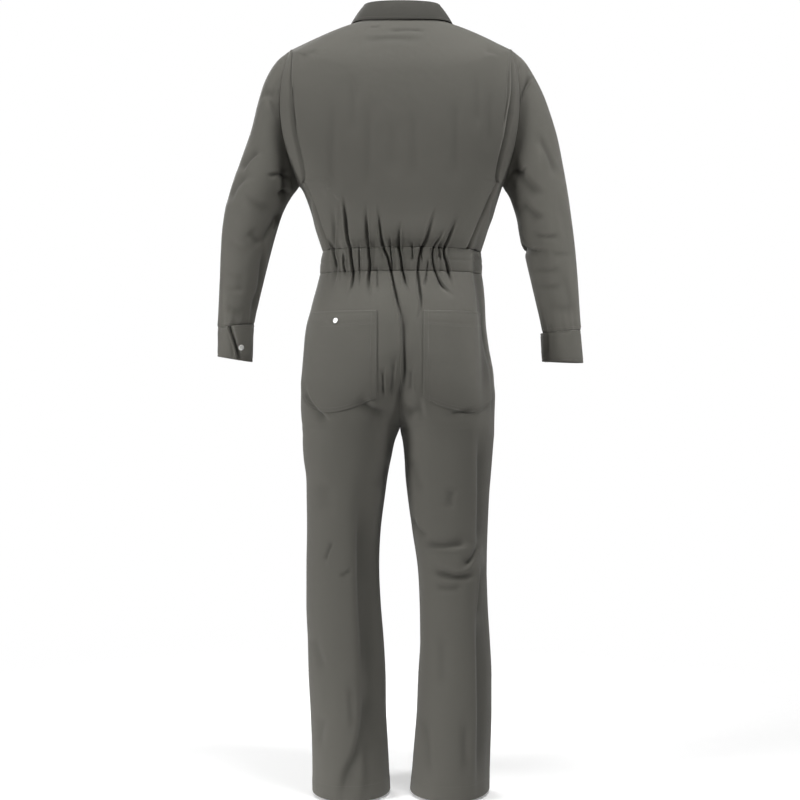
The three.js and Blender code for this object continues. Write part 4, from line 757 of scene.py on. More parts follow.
for side in SIDES:
    form = Form(bodice(side, "front", front_runs), BODICE_CENTRE)
    point, normal = form.at(form.row_length * FRONT_SHARES)
    away = (UNDERARM - WAIST_TOP) * front_runs[:, None]
    rise = seam_folds(FRONT_WAIST_FOLDS, point[..., 0], away) + creases(FRONT_CREASES, point, normal)
    outer, inner = raised(point, normal, rise * clear_of_placket(point[..., 0]))
    front = cloth_mesh(f"front_{side}", outer, inner, panel_twill)
    stitched(outer, ("row", 2), ("column", -4))
    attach(front, "root")
    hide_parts(f"front_{side}")


# The sleeves are set into the armholes, each one piece with its seam under the arm. They hang
# slightly bent, so the cloth folds behind the elbow and pulls in lines from the underarm.
SLEEVE_CREASES = {
    "left": (
        (BACK, 8, 6, 1.3, (238, 1278), (230, 1236), (233, 1188)),
        (BACK, 4, 4.5, 1.3, (266, 1238), (244, 1247), (220, 1245)),
        (BACK, 4.5, 4, 1.3, (250, 1204), (236, 1212), (222, 1219)),
        (BACK, 8, 4.5, 1.6, (275, 1294), (303, 1275), (324, 1248)),
        (BACK, 10, 4, 1.2, (298, 1250), (332, 1222), (348, 1184)),
        (BACK, 5.5, 6, 1.6, (236, 1186), (256, 1148), (272, 1118), (277, 1094)),
        (BACK, 4, 6, 1.7, (271, 1120), (274, 1094), (278, 1072), (281, 1050), (286, 1016), (295, 994),
         (299, 968), (313, 936)),
        (BACK, 13, 3.5, 1, (304, 1132), (280, 1102)),
        (BACK, 13, 4.5, 1, (362, 986), (338, 972), (308, 964)),
        (BACK, 3, 4, 1.6, (211, 1478), (218, 1460), (220, 1448)),
        (BACK, 10, 3, 1.2, (246, 1400), (282, 1410)),
        (BACK, 9, 3, 1.3, (228, 1340), (252, 1372), (262, 1400)),
        (BACK, 11, 2.2, 1.3, (326, 1206), (290, 1180), (254, 1168)),
        (BACK, 12, 2, 1.2, (356, 1122), (318, 1094), (290, 1090)),
        (BACK, 10, 1.6, 1.2, (366, 1060), (330, 1040), (304, 1042)),
        (BACK, 10, 2.6, 1.3, (310, 1020), (336, 1012), (362, 1022)),
        (BACK, 6, 2.2, 1.3, (330, 942), (352, 946)), (FRONT, 14, 7, 1.3, (228, 1240), (300, 1290)),
        (FRONT, 16, 8, 1.3, (262, 1112), (338, 1140)), (FRONT, 15, 6, 1.3, (276, 1060), (346, 1082)),
        (FRONT, 15, 4, 1.3, (240, 1390), (300, 1440)), (FRONT, 14, 5, 1.3, (290, 1180), (350, 1190)),
        (FRONT, 12, 3, 1.3, (300, 990), (352, 1004)),
    ),
    "right": (
        (BACK, 3.6, 10, 1.8, (-270, 1446), (-254, 1424), (-244, 1403), (-234, 1368)),
        (BACK, 2.6, 3, 1, (-272, 1450), (-254, 1424), (-244, 1403), (-235, 1372)),
        (BACK, 3, 7, 1.6, (-247, 1476), (-239, 1460), (-232, 1440)),
        (BACK, 3, 4, 1.6, (-227, 1492), (-230, 1462)),
        (BACK, 5, 7, 0.7, (-228, 1362), (-226, 1330), (-219, 1300)),
        (ALL_ROUND, 5, 8.5, 1.6, (-232, 1160), (-242, 1126), (-250, 1106), (-264, 1092), (-304, 1087)),
        (BACK, 11, 4.5, 1.3, (-216, 1288), (-238, 1251), (-258, 1220), (-292, 1190)),
        (BACK, 9, 4, 1.3, (-240, 1196), (-264, 1168), (-288, 1148)),
        (BACK, 5, 2, 1.4, (-262, 1126), (-292, 1118), (-326, 1121)),
        (BACK, 6, 1.4, 1.4, (-300, 1086), (-322, 1084), (-352, 1088)),
        (BACK, 7, 2, 1.4, (-262, 1062), (-292, 1050), (-330, 1056)),
        (BACK, 8, 2, 1.3, (-268, 1030), (-302, 1016), (-336, 1024)),
        (BACK, 5, 4, 1.5, (-224, 1262), (-238, 1250), (-256, 1250)),
        (BACK, 8, 3, 1.2, (-270, 1330), (-300, 1280), (-316, 1230)),
        (BACK, 12, 1.8, 1.2, (-312, 1220), (-336, 1140), (-348, 1060)),
        (BACK, 12, 1.6, 1.2, (-290, 990), (-326, 972), (-362, 978)),
        (BACK, 10, 1.6, 1.2, (-318, 1060), (-342, 1010), (-350, 950)),
        (BACK, 6, 1.6, 1.2, (-300, 960), (-312, 930), (-320, 900)),
        (FRONT, 14, 7, 1.3, (-236, 1236), (-300, 1290)),
        (FRONT, 16, 8, 1.3, (-256, 1110), (-330, 1140)),
        (FRONT, 15, 6, 1.3, (-268, 1052), (-338, 1076)),
        (FRONT, 15, 4, 1.3, (-240, 1380), (-300, 1440)),
        (FRONT, 14, 5, 1.3, (-286, 1180), (-344, 1190)), (FRONT, 12, 3, 1.3, (-296, 990), (-346, 1000)),
    ),
}
SLEEVE_END = 12.0  # the last station of the table, at the cuff's seam
HEAD_PUCKER, CUFF_TUCK, FINE_TUCK = 0.5, 1.6, 0.8  # where the cloth is eased into its seams
PLAIN_HEAD, PLAIN_CUFF = 1.2, 0.8  # stations over which the creases die out towards a seam
sleeve_turn = 2 * math.pi * np.linspace(0, 1, 126, endpoint=False)
sleeve_steps = spaced(0, (0.072, SLEEVE_END))[:, None]


def round_normals(grid, centre):
    """Normals of a grid whose rows close on themselves."""
    padded = np.concatenate([grid[:, -1:], grid, grid[:, :1]], axis=1)
    return normals(padded, centre)[:, 1:-1]


def section_centre(side, s):
    middle_x, middle_h = ((s[f"outer_{c}"] + s[f"inner_{c}"]) / 2 for c in "xh")
    return points(SIDES[side] * middle_x, s["y"], middle_h)


def puckers(waves, drift=0, slow=0):
    """Small waves round the sleeve, of uneven width where they drift."""
    return np.sin(sleeve_turn * waves + drift * np.sin(sleeve_turn * slow))


def by_seam(distance, reach, start):
    """How strong puckers are at a distance from their seam, in stations."""
    return np.exp(-distance / reach) * smooth(distance / start)


head_pucker = HEAD_PUCKER * puckers(waves=23, drift=2, slow=5)
cuff_tuck = CUFF_TUCK * puckers(waves=11, drift=1.5, slow=3) + FINE_TUCK * puckers(waves=19)
for side in SIDES:
    section = sleeve_section(side, sleeve_steps)
    point = around_arm(side, section, sleeve_turn)
    normal = round_normals(point, section_centre(side, section))
    to_head, to_cuff = sleeve_steps, SLEEVE_END - sleeve_steps
    rise = creases(SLEEVE_CREASES[side], point, normal)
    rise *= smooth(to_head / PLAIN_HEAD) * smooth(to_cuff / PLAIN_CUFF)
    rise += head_pucker * by_seam(to_head, reach=0.35, start=0.1)
    rise += cuff_tuck * by_seam(to_cuff, reach=0.5, start=0.15)
    outer, inner = raised(point, normal, rise)
    # painted shade in the bottoms of the sleeve's creases
    fold = painted_fold_shade(SLEEVE_CREASES[side], point, normal)
    sleeve = cloth_mesh(f"sleeve_{side}", outer, inner, panel_twill, True, fold)
    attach(sleeve, "root")
    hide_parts(f"sleeve_{side}")
    stitched(outer, ("row", 3), ("row", -3))


# The cuffs are straight bands of two layers, stitched all round. One end laps over the other,
# and a press stud closes it.
CUFF = {
    "left": {"outer_x": 377, "outer_h": 881, "inner_x": 308, "inner_h": 870, "depth": 44, "y": -30,
             "slit": 106, "lean": 30, "lap_way": -1},
    "right": {"outer_x": 379, "outer_h": 868, "inner_x": 299, "inner_h": 871, "depth": 42, "y": -30,
              "slit": 215, "lean": 0, "lap_way": 1},
}
CUFF_LAP = 40  # degrees round the wrist
CUFF_STUD_BACK, CUFF_STUD_DOWN = 25, 0.64  # degrees from the lap's end, and share of the width
CUFF_WIDTH = 66
CUFF_STAND, CUFF_LAYER = 0.6, 4.64  # how far the band stands out, and its lapped end over that
CUFF_WAVES, CUFF_WAVE = 9, 0.5  # left by the tucks above it
CUFF_COLUMNS, CUFF_ROWS = 130, 26
CUFF_SLIT = {
    "left": ((BACK, 3.2, 8, 0.6, (352, 966), (346, 938), (341, 918), (334, 897), (331, 860)),),
    "right": ((BACK, 3, 2, 1.3, (-300, 950), (-304, 920), (-306, 870)),),
}
cuff_places = {}


def cuff_surface(side, u, v):
    """Points and normals round a cuff, and how far its layers stand out; u runs round, v down."""
    top, end = sleeve_section(side, SLEEVE_END), CUFF[side]
    section = {name: mix(top[name], end.get(name, 0), v) for name in SLEEVE_COLUMNS.split()[1:]}
    slit = end["slit"] + end["lean"] * (v - 0.5)
    degrees = slit + end["lap_way"] * (u * (360 + CUFF_LAP) - CUFF_LAP / 2)
    grid = around_arm(side, section, np.radians(degrees))
    normal = normals(grid, section_centre(side, section))
    lap = CUFF_LAP / (360 + CUFF_LAP)
    return grid, normal, CUFF_STAND + CUFF_LAYER * smooth((u - 1 + 3 * lap) / (2 * lap))


cuff_u, cuff_v = np.linspace(0, 1, CUFF_COLUMNS)[None], np.linspace(0, 1, CUFF_ROWS)[:, None]
for side in SIDES:
    point, normal, layers = cuff_surface(side, cuff_u, cuff_v)
    edge = np.minimum(cuff_v, 1 - cuff_v) * CUFF_WIDTH
    rise = layers + groove(edge, at=5, width=1.2, depth=0.7) + groove(edge, at=0, width=1.2, depth=0.6)
    rise += CUFF_WAVE * np.sin(cuff_u * 2 * math.pi * CUFF_WAVES) * smooth(1 - cuff_v)
    rise += creases(CUFF_SLIT[side], point, normal)
    outer, inner = raised(point, normal, rise)
    # painted shade in the slit under the cuff's lapped end
    fold = painted_fold_shade(CUFF_SLIT[side], point, normal)
    cuff = cloth_mesh(f"cuff_{side}", outer, inner, trim_twill, fold=fold)
    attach(cuff, "root")
    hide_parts(f"cuff_{side}")
    row = round(CUFF_STUD_DOWN * (CUFF_ROWS - 1))
    column = round((1 - CUFF_STUD_BACK / (360 + CUFF_LAP)) * (CUFF_COLUMNS - 1))
    cuff_places[side] = outer[row, column], normal[row, column]
    stitched(outer, ("row", 2), ("row", -3), ("column", 3), ("column", -4))


# The waistband: a casing across the back, gathered on wide elastic, and a plain band on each
# front. The band is sewn to the bodice above it and to the trousers below it.
# For the hips, left and right are half widths, back and front the depths at the middle, and the
# last two columns say how far the two legs' ovals have parted there
HIPS = table(
    "height left right back front part_back part_front",
    (1048, 164, 168, 96, -112, 0, 0), (1021, 171, 172, 105, -116, 0, 0),
    (996, 178, 174, 114, -117, 0.015, 0), (972, 184, 175, 122, -118, 0.03, 0),
    (947, 191, 176, 129, -118, 0.06, 0.01), (922, 195, 178, 133, -118, 0.1, 0.02),
    (898, 197, 181, 136, -118, 0.15, 0.04), (873, 199, 185, 138, -118, 0.22, 0.09),
    (849, 201, 189, 138, -117, 0.31, 0.18), (824, 203, 191, 137, -116, 0.43, 0.33),
    (800, 203, 193, 134, -114, 0.57, 0.5), (778, 203, 193, 130, -112, 0.72, 0.68),
    (760, 202, 193, 126, -110, 0.85, 0.83), (748, 201, 193, 124, -109, 0.93, 0.92),
    (740, 200, 193, 122, -108, 0.975, 0.972), (734, 200, 193, 121, -107, 1, 1),
)
LEG_COLUMNS = "height outer inner back front"
LEG = {
    "left": table(
        LEG_COLUMNS,
        (734, 200, 0, 121, -107), (722, 199, 5, 118, -106), (709, 199, 10, 115, -105),
        (672, 197, 18, 109, -102), (636, 192, 25, 104, -99), (599, 191, 30, 100, -97),
        (525, 190, 39, 94, -94), (451, 191, 42, 90, -92), (377, 191, 39, 89, -89),
        (303, 188, 33, 89, -85), (230, 186, 29, 90, -80), (156, 182, 28, 92, -74),
        (82, 179, 24, 94, -68), (0, 178, 20, 96, -62),
    ),
    "right": table(
        LEG_COLUMNS,
        (734, 193, 0, 121, -107), (722, 193, 2, 118, -106), (709, 192, 5, 115, -105),
        (672, 189, 9, 109, -102), (636, 186, 11, 104, -99), (599, 183, 15, 100, -97),
        (525, 180, 25, 94, -94), (451, 178, 36, 91, -92), (377, 180, 40, 89, -89),
        (303, 184, 41, 89, -85), (230, 187, 37, 90, -80), (156, 187, 34, 92, -74),
        (82, 185, 28, 94, -68), (0, 182, 21, 96, -62),
    ),
}
CROTCH = 734
LEG_SQUARE = 2.15
HEM_SEAM_Y = 16  # the side seam swings back to here at the hem
HEEL_DROP, HEEL_FROM, HEEL_BACK = 6, 300, 80  # at the heel, from a height, and that far behind


def leg(side, face, heights):
    """Half of the hips or one leg: a row of points for each height, from the side seam inwards."""
    h = np.asarray(heights, float)[:, None]
    above = h >= CROTCH
    part = np.where(above, read(HIPS, "height", f"part_{face}", h), 1.0)
    lower = {name: read(LEG[side], "height", name, h) for name in LEG_COLUMNS.split()[1:]}
    outer = np.where(above, read(HIPS, "height", side, h), lower["outer"])
    half_width = np.where(above, outer / (1 + part), (outer - lower["inner"]) / 2)
    edge_y = np.where(above, read(HIPS, "height", face, h), lower[face])
    seam_y = mix(SIDE_SEAM_Y, HEM_SEAM_Y, smooth((WAIST_BOTTOM - h) / WAIST_BOTTOM))
    end = np.where(part >= 1, math.pi, np.arccos(-(part ** (LEG_SQUARE / 2))))
    angle = end * np.linspace(0, 1, LEVEL_SAMPLES)
    across = np.sign(np.cos(angle)) * abs(np.cos(angle)) ** (2 / LEG_SQUARE)
    x = outer - half_width + half_width * across
    y = seam_y + (edge_y - seam_y) * abs(np.sin(angle)) ** (2 / LEG_SQUARE)
    z = h - HEEL_DROP * smooth(1 - h / HEEL_FROM) * (y - HEM_SEAM_Y) / HEEL_BACK
    centre = points(SIDES[side] * (outer - half_width), seam_y, h)
    return points(SIDES[side] * x, y, z), centre


def waist(face, shares, levels):
    """The band's smooth form from the left side seam to the right, between its two seams."""
    rows = []
    for side in SIDES:
        low = leg(side, face, [WAIST_BOTTOM])[0]
        high = bodice(side, face, [0.0])
        share = shares[shares > 0] if side == "left" else -shares[shares <= 0]
        bottom = along_rows(low, low, lengths(low)[:, -1:] * (1 - share))
        top = along_rows(high, high, lengths(high)[:, -1:] * share)
        rows.append(mix(bottom, top, levels[:, None, None]))
    grid = np.concatenate(rows, axis=1)
    grid[..., 2] = mix(WAIST_BOTTOM, WAIST_TOP, levels[:, None])
    return grid


BAND_CENTRE = np.array([0, SIDE_SEAM_Y, WAIST_TOP])
BAND_PUFF, PLAIN_PUFF = 2.2, 0.9  # how far the gathered and the plain bands bulge between seams
GATHER_SWAY, SWAY_LENGTH = 0.2, 17  # how the gathers' depth varies over the band
band_levels = np.linspace(0, 1, 23)
up = band_levels[:, None]
point = waist("back", np.linspace(1, -1, 381), band_levels)
normal = normals(point, BAND_CENTRE)
x = point[..., 0]
rise = hollows(GATHERS, x) * (1 + GATHER_SWAY * np.sin(2 * math.pi * up + x / SWAY_LENGTH))
rise += creases(WAIST_FOLDS, point, normal) + BAND_PUFF * np.sin(math.pi * up)
rise += groove(up, at=0.5, width=0.05, depth=0.8) + groove(up, at=0, width=0.05, depth=1.2)
outer = point + normal * rise[..., None]
outer[0, :, 2], outer[-1, :, 2] = WAIST_BOTTOM, WAIST_TOP
# painted shade in the bottoms of the band's folds
fold = painted_fold_shade(WAIST_FOLDS, point, normal)
band = cloth_mesh("waistband_back", outer, outer - normal * CLOTH, trim_twill, fold=fold)
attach(band, "root")
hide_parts("waistband_back")
stitched(outer, ("row", 2), ("row", -3))

front_shares = {"left": np.linspace(1, 1e-4, 100), "right": np.linspace(0, -1, 100)}
for side, shares in front_shares.items():
    point = waist("front", shares, band_levels)
    rise = PLAIN_PUFF * np.sin(math.pi * up) * clear_of_placket(point[..., 0])
    outer, inner = raised(point, normals(point, BAND_CENTRE), rise)
    band = cloth_mesh(f"waistband_front_{side}", outer, inner, trim_twill)
    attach(band, "root")
    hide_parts(f"waistband_front_{side}")
    stitched(outer, ("row", 2), ("row", -3))


# The trousers: a back and a front for each leg, joined by the side seam, the inner leg seam and,
# above the crotch, the seat seam or the fly. The hems are turned up twice and stitched.
SEAT_GROOVE = (
    (BACK, 7, 6, 0.7, (-2, 990), (-5, 950), (-6, 900), (-8, 850), (-6, 790)),
    (BACK, 22, 4, 1, (-6, 900), (-6, 840), (-2, 770)),
)
LEG_CREASES = {
    "left": (
        (BACK, 8, 6, 1.5, (197, 826), (182, 792), (160, 766), (134, 740)),
        (BACK, 13, 7, 1.3, (84, 800), (62, 776), (38, 764), (20, 752)),
        (BACK, 4, 4, 1.5, (33, 858), (32, 826), (32, 790)),
        (BACK, 5, 3, 1.3, (10, 880), (14, 830), (20, 786)),
        (BACK, 18, 9, 0.62, (76, 660), (76, 560), (78, 500), (79, 400), (72, 300), (66, 183),
         (72, 145)),
        (BACK, 16, 8, 0.62, (66, 250), (70, 150), (88, 84), (108, 50), (112, -30)),
        # a wide trough whose painted shade darkens the inner part of the leg, turned from the light
        (BACK, 26, 11, 1, (58, 660), (54, 420), (50, 200), (46, -60)),
        (BACK, 12, 3, 0.8, (66, 140), (64, 70), (66, -20)),
        (BACK, 10, 2.4, 0.8, (98, 240), (98, 180), (92, 120)),
        (BACK, 5, 2.6, 1.5, (131, 516), (137, 500), (144, 484), (150, 462)),
        (BACK, 6, 2.4, 1.4, (122, 438), (110, 446), (94, 454)),
        (BACK, 22, 3, 1, (150, 640), (152, 560)), (BACK, 16, 3, 1.2, (22, 680), (34, 640), (50, 600)),
        (BACK, 12, 2.4, 1.2, (176, 330), (150, 240)), (BACK, 12, 2.4, 1.3, (150, 170), (164, 90)),
        (FRONT, 18, 5, 1.3, (30, 690), (120, 780)), (FRONT, 18, 6, 1.3, (52, 452), (132, 420)),
        (FRONT, 17, 6, 1.3, (176, 400), (100, 366)), (FRONT, 18, 6, 1.3, (44, 150), (128, 110)),
        (FRONT, 18, 4, 1.3, (170, 640), (150, 520)), (FRONT, 18, 4, 1.3, (60, 320), (70, 200)),
        (FRONT, 16, 4, 1.3, (160, 240), (140, 120)), (FRONT, 12, 3, 1.3, (150, 500), (90, 480)),
    ),
    "right": (
        (BACK, 16, 6, 0.8, (-8, 760), (-28, 768), (-52, 772)),
        (BACK, 5, 3, 1.3, (-22, 860), (-20, 800)),
        (BACK, 15, 9, 0.62, (-162, 760), (-162, 600), (-163, 440)),
        (BACK, 6, 6, 1.5, (-168, 500), (-150, 480), (-138, 468), (-122, 458)),
        (BACK, 8, 7, 0.6, (-34, 508), (-60, 500), (-100, 499), (-146, 508)),
        (BACK, 8, 4, 1.3, (-20, 560), (-34, 530), (-60, 514)),
        (BACK, 7, 8, 1, (-58, 454), (-84, 446), (-112, 438), (-134, 440), (-160, 448)),
        (BACK, 7, 6, 0.6, (-172, 466), (-165, 428), (-163, 396), (-161, 340)),
        (BACK, 14, 9, 0.62, (-162, 460), (-159, 280), (-162, 130), (-160, -60)),
        # a wide trough whose painted shade darkens the leg's outer edge, turned from the light
        (BACK, 17, 5, 1, (-177, 600), (-177, 300), (-177, -60)),
        # a narrow trough whose painted shade darkens the hip's outer edge, turned from the light
        (ALL_ROUND, 4, 3.4, 1, (-166, 1046), (-171, 960), (-174, 900), (-184, 850), (-188, 780),
         (-187, 690)),
        (BACK, 12, 3, 1, (-130, 170), (-128, 90), (-134, 30)),
        (BACK, 12, 3, 1.2, (-104, 620), (-100, 570)),
        (BACK, 14, 3, 1, (-20, 690), (-32, 640), (-44, 590)),
        (BACK, 8, 2.6, 1.3, (-60, 424), (-90, 416), (-130, 420)),
        (BACK, 14, 2.6, 1, (-84, 340), (-82, 200)),
        (BACK, 12, 2.6, 1.2, (-44, 180), (-56, 90), (-60, 20)),
        (BACK, 4, 3, 1.4, (-93, 772), (-100, 764), (-124, 770), (-148, 774)),
        (FRONT, 18, 5, 1.3, (-24, 690), (-112, 784)), (FRONT, 18, 6, 1.3, (-48, 440), (-128, 408)),
        (FRONT, 17, 6, 1.3, (-170, 396), (-96, 352)), (FRONT, 18, 6, 1.3, (-52, 140), (-130, 104)),
        (FRONT, 18, 4, 1.3, (-172, 640), (-150, 520)), (FRONT, 18, 4, 1.3, (-60, 320), (-66, 200)),
        (FRONT, 16, 4, 1.3, (-164, 240), (-140, 120)), (FRONT, 12, 3, 1.3, (-150, 490), (-90, 470)),
    ),
}
HEM_FOLD, HEM_STAND = 25, 0.5  # how wide the turned hem is, and how far its layers stand out
SEAM_CLEAR = 5  # from the seat seam to where folds have their full depth
LEG_SHARES = spaced(0, (0.008, 0.03), (0.0088, 0.97), (0.006, 1))
LEG_HEIGHTS = {
    "back": spaced(0, (1.5, 9), (4.9, 690), (2.8, 790), (3.2, 1010), (2, WAIST_BOTTOM)),
    "front": spaced(0, (1.5, 9), (12, 690), (5, 790), (7, 1010), (3, WAIST_BOTTOM)),
}
legs = {}
for face in FACES:
    for side, sign in SIDES.items():
        leg_heights = LEG_HEIGHTS[face]
        form = Form(*leg(side, face, leg_heights))
        point, normal = form.at(form.row_length * LEG_SHARES)
        x, height = point[..., 0], leg_heights[:, None]
        near_seam = smooth((abs(x) - 1) / SEAM_CLEAR + (height < CROTCH))
        rise = creases(LEG_CREASES[side], point, normal) * near_seam
        # painted shade in the creases, the waist folds and the seat seam, and down the right hip
        fold = painted_fold_shade(LEG_CREASES[side] + WAIST_FOLDS + SEAT_GROOVE, point, normal)
        away = WAIST_BOTTOM - height
        if face == "back":
            rise += creases(WAIST_FOLDS + SEAT_GROOVE, point, normal)
            rise += hollows(GATHERS, x) * np.exp(-away / GATHER_RUN)
        else:
            rise += seam_folds(FRONT_WAIST_FOLDS, x, away) * clear_of_placket(x)
        rise += HEM_STAND * smooth((HEM_FOLD + 1 - height) / 3)
        rise += groove(height, at=HEM_FOLD, width=1.5, depth=0.6)
        outer, inner = raised(point, normal, rise)
        for cloth in (outer, inner):
            cloth[-1, :, 2] = WAIST_BOTTOM
            cloth[..., 0] = np.where(cloth[..., 0] * sign < 0, 0, cloth[..., 0])
            cloth[leg_heights >= CROTCH, -1, 0] = 0
        legs[side, face] = outer, normal
        panel = cloth_mesh(f"leg_{face}_{side}", outer, inner, panel_twill, fold=fold)
        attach(panel, "root")
        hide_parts(f"leg_{face}_{side}")
        stitched(outer, ("column", 1), ("row", int(np.searchsorted(leg_heights, HEM_FOLD - 1))))


# The hip pockets are patches with a rounded point at the foot, each sewn flat on the back of a
# leg by two rows of stitches, with a turned hem across its mouth.
POCKET_INNER_X, POCKET_OUTER_DEGREES = 45, 16
POCKET_TOP, POCKET_SIDE, POCKET_POINT, POCKET_ROUND = 968, 172, 30, 1.7
POCKET_HALF_WIDTH, POCKET_DEPTH, POCKET_MOUTH_HEM = 73, 190, 24
POCKET_STAND = 0.4 + CLOTH
POCKET_PUFF, PUFF_WITHIN = 0.5, 20  # the bulge between its seams, full this far from them
POCKET_STUD = (0.02, 0.1)  # across and down


def on_cloth(side, share, height):
    """Points and normals of the back of a leg, as it was made, at any share and height."""
    outer, normal = legs[side, "back"]
    leg_heights = LEG_HEIGHTS["back"]
    i = np.clip(np.searchsorted(leg_heights, height) - 1, 0, len(leg_heights) - 2)
    j = np.clip(np.searchsorted(LEG_SHARES, share) - 1, 0, len(LEG_SHARES) - 2)
    up = ((height - leg_heights[i]) / (leg_heights[i + 1] - leg_heights[i]))[..., None]
    along = ((share - LEG_SHARES[j]) / (LEG_SHARES[j + 1] - LEG_SHARES[j]))[..., None]
    found = []
    for grid in (outer, normal):
        low = mix(grid[i, j], grid[i, j + 1], along)
        high = mix(grid[i + 1, j], grid[i + 1, j + 1], along)
        found.append(mix(low, high, up))
    return found


def pocket(side, across, down):
    """Points and normals of the leg under a pocket; across runs from -1 to 1, down from 0 to 1."""
    drop = POCKET_SIDE + POCKET_POINT * (1 - abs(across) ** POCKET_ROUND)
    height = POCKET_TOP - down * drop
    rows = height.reshape(-1)
    smooth_leg, _ = leg(side, "back", rows)
    share_along = lengths(smooth_leg) / lengths(smooth_leg)[:, -1:]
    half_turn = np.cos(math.radians(POCKET_OUTER_DEGREES)) ** (2 / LEG_SQUARE)
    leg_x = abs(smooth_leg[..., 0])
    reach = leg_x[:, 0]
    hip_middle = reach - reach / (1 + read(HIPS, "height", "part_back", rows))
    oval_middle = np.where(rows >= CROTCH, hip_middle, (reach + leg_x.min(axis=1)) / 2)
    far_x = oval_middle + (reach - oval_middle) * half_turn
    share = []
    for xs, at, outer_x in zip(leg_x, share_along, far_x):
        share.append([np.interp(-w, -xs, at) for w in (outer_x, POCKET_INNER_X)])
    far, near = np.array(share).T.reshape(2, *height.shape)
    return on_cloth(side, mix(far, near, (across + 1) / 2), height)


pocket_across, pocket_down = np.linspace(-1, 1, 61)[None], np.linspace(0, 1, 65)[:, None]
for side in SIDES:
    across, down = np.broadcast_arrays(pocket_across, pocket_down)
    point, normal = pocket(side, across, down)
    edge = (1 - abs(across)) * POCKET_HALF_WIDTH
    edge = np.minimum(edge, np.minimum(down, 1 - down) * POCKET_DEPTH)
    rise = POCKET_STAND + POCKET_PUFF * smooth(edge / PUFF_WITHIN)
    rise += groove(edge, at=6.5, width=1.3, depth=0.5)
    rise += groove(down * POCKET_DEPTH, at=POCKET_MOUTH_HEM, width=1.2, depth=0.5)
    outer, inner = raised(point, normal, rise)
    # painted shade of the folds that cross the pocket
    fold = painted_fold_shade(WAIST_FOLDS + SEAT_GROOVE + LEG_CREASES[side], point, normal)
    patch = cloth_mesh(f"hip_pocket_{side}", outer, inner, trim_twill, fold=fold)
    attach(patch, "root")
    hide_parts(f"hip_pocket_{side}")
    stitched(outer, ("column", 1), ("column", 4), ("column", -2), ("column", -5), ("row", -2),
             ("row", -4), ("row", 1), ("row", 10))
point, normal = (found[0, 0] for found in pocket("left", *(np.array([[at]]) for at in POCKET_STUD)))
pocket_stud_place = point + normal * POCKET_STAND, normal


# The front placket is a folded strip of the same twill, from the neck to the end of the fly. It is
# stitched along both edges and covers the line where the fronts meet, and its studs close the suit.
PLACKET_HALF, PLACKET_STAND, PLACKET_COLUMNS = 21, 2.1, 29
FLY_END = 862
front_middle = []  # rows of the fronts near the middle, from the fly up to the neck
strip_x = np.linspace(PLACKET_HALF, -PLACKET_HALF, PLACKET_COLUMNS)


def strip_row(left_row, right_row):
    """The strip's points where it crosses a level of the two fronts."""
    line = np.concatenate([left_row, right_row])
    line = line[np.argsort(line[:, 0])]
    return np.stack([strip_x] + [np.interp(strip_x, line[:, 0], line[:, c]) for c in (1, 2)], axis=-1)


for height in spaced(FLY_END, (5, WAIST_BOTTOM - 2)):
    front_middle.append(strip_row(*(leg(s, "front", [height])[0][0][::-1] for s in SIDES)))
for run in spaced(0, (0.03, 2.9), (1, 2.94, 2.985))[1:]:
    front_middle.append(strip_row(*(bodice(s, "front", [run])[0] for s in SIDES)))
strip = np.array(front_middle)
rising = np.gradient(strip[:, PLACKET_COLUMNS // 2], axis=0)
out = np.stack([np.zeros(len(strip)), -rising[:, 2], rising[:, 1]], axis=-1)
out /= np.linalg.norm(out, axis=-1, keepdims=True)
rise = PLACKET_STAND + groove(PLACKET_HALF - abs(strip_x), at=4, width=1, depth=0.4)
placket_outer, placket_inner = raised(strip, out[:, None], rise[None])
placket = cloth_mesh("front_placket", placket_outer, placket_inner, trim_twill)
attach(placket, "root")
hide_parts("front_placket")
stitched(placket_outer, ("column", 3), ("column", -4), ("row", 1))


# The collar: a stand round the neck, folded over into a fall with pointed fronts, both of two
# layers with a stiffener between them and a row of stitches along the edge.
COLLAR_CLOTH = 1.6
COLLAR_PAINTED_SHADE = 0.64  # painted shade laid evenly over the whole collar, as in the bottom of a fold
COLLAR = {"stand": 31, "lean": 4, "fold": 2.5, "front_drop": 3.5, "seam_gap": 0.3}
FALL_BEND = {"at": 0.45, "out": 2.5, "up": 2}  # how the fall rounds on its way down
STAND_STEPS, FOLD_STEPS, FALL_STEPS = 13, 13, 25
SEAM_STEP, FALL_STEP = 0.01, 0.001  # short ways along the bodice, to find its directions by
COLLAR_EDGE = table(
    "round down along off",
    (0, 0.1, 0, 3), (0.6, 0.12, 0.62, 3), (1, 0.17, 1.02, 3), (1.4, 0.36, 1.32, 3.4),
    (1.75, 0.62, 1.56, 4), (2, 0.86, 1.72, 4.6),
)


def on_bodice(side, turn, run):
    """A point of the bodice, by the way round from the middle of the back by the shoulder."""
    found = []
    for face, share in (("back", turn), ("front", 2 - turn)):
        grid = bodice(side, face, run)
        share = np.clip(share, 0, 1)[:, None]
        found.append(along_rows(grid, grid, share * lengths(grid)[:, -1:])[:, 0])
    return np.where((turn <= 1)[:, None], *found)


def unit(vectors):
    return vectors / np.linalg.norm(vectors, axis=-1, keepdims=True)


def round_step(side, turn, run, step):
    """From a point a little before on the way round the bodice to one a little past."""
    past, before = np.minimum(turn + step, 2), np.maximum(turn - step, 0)
    return on_bodice(side, past, run) - on_bodice(side, before, run)


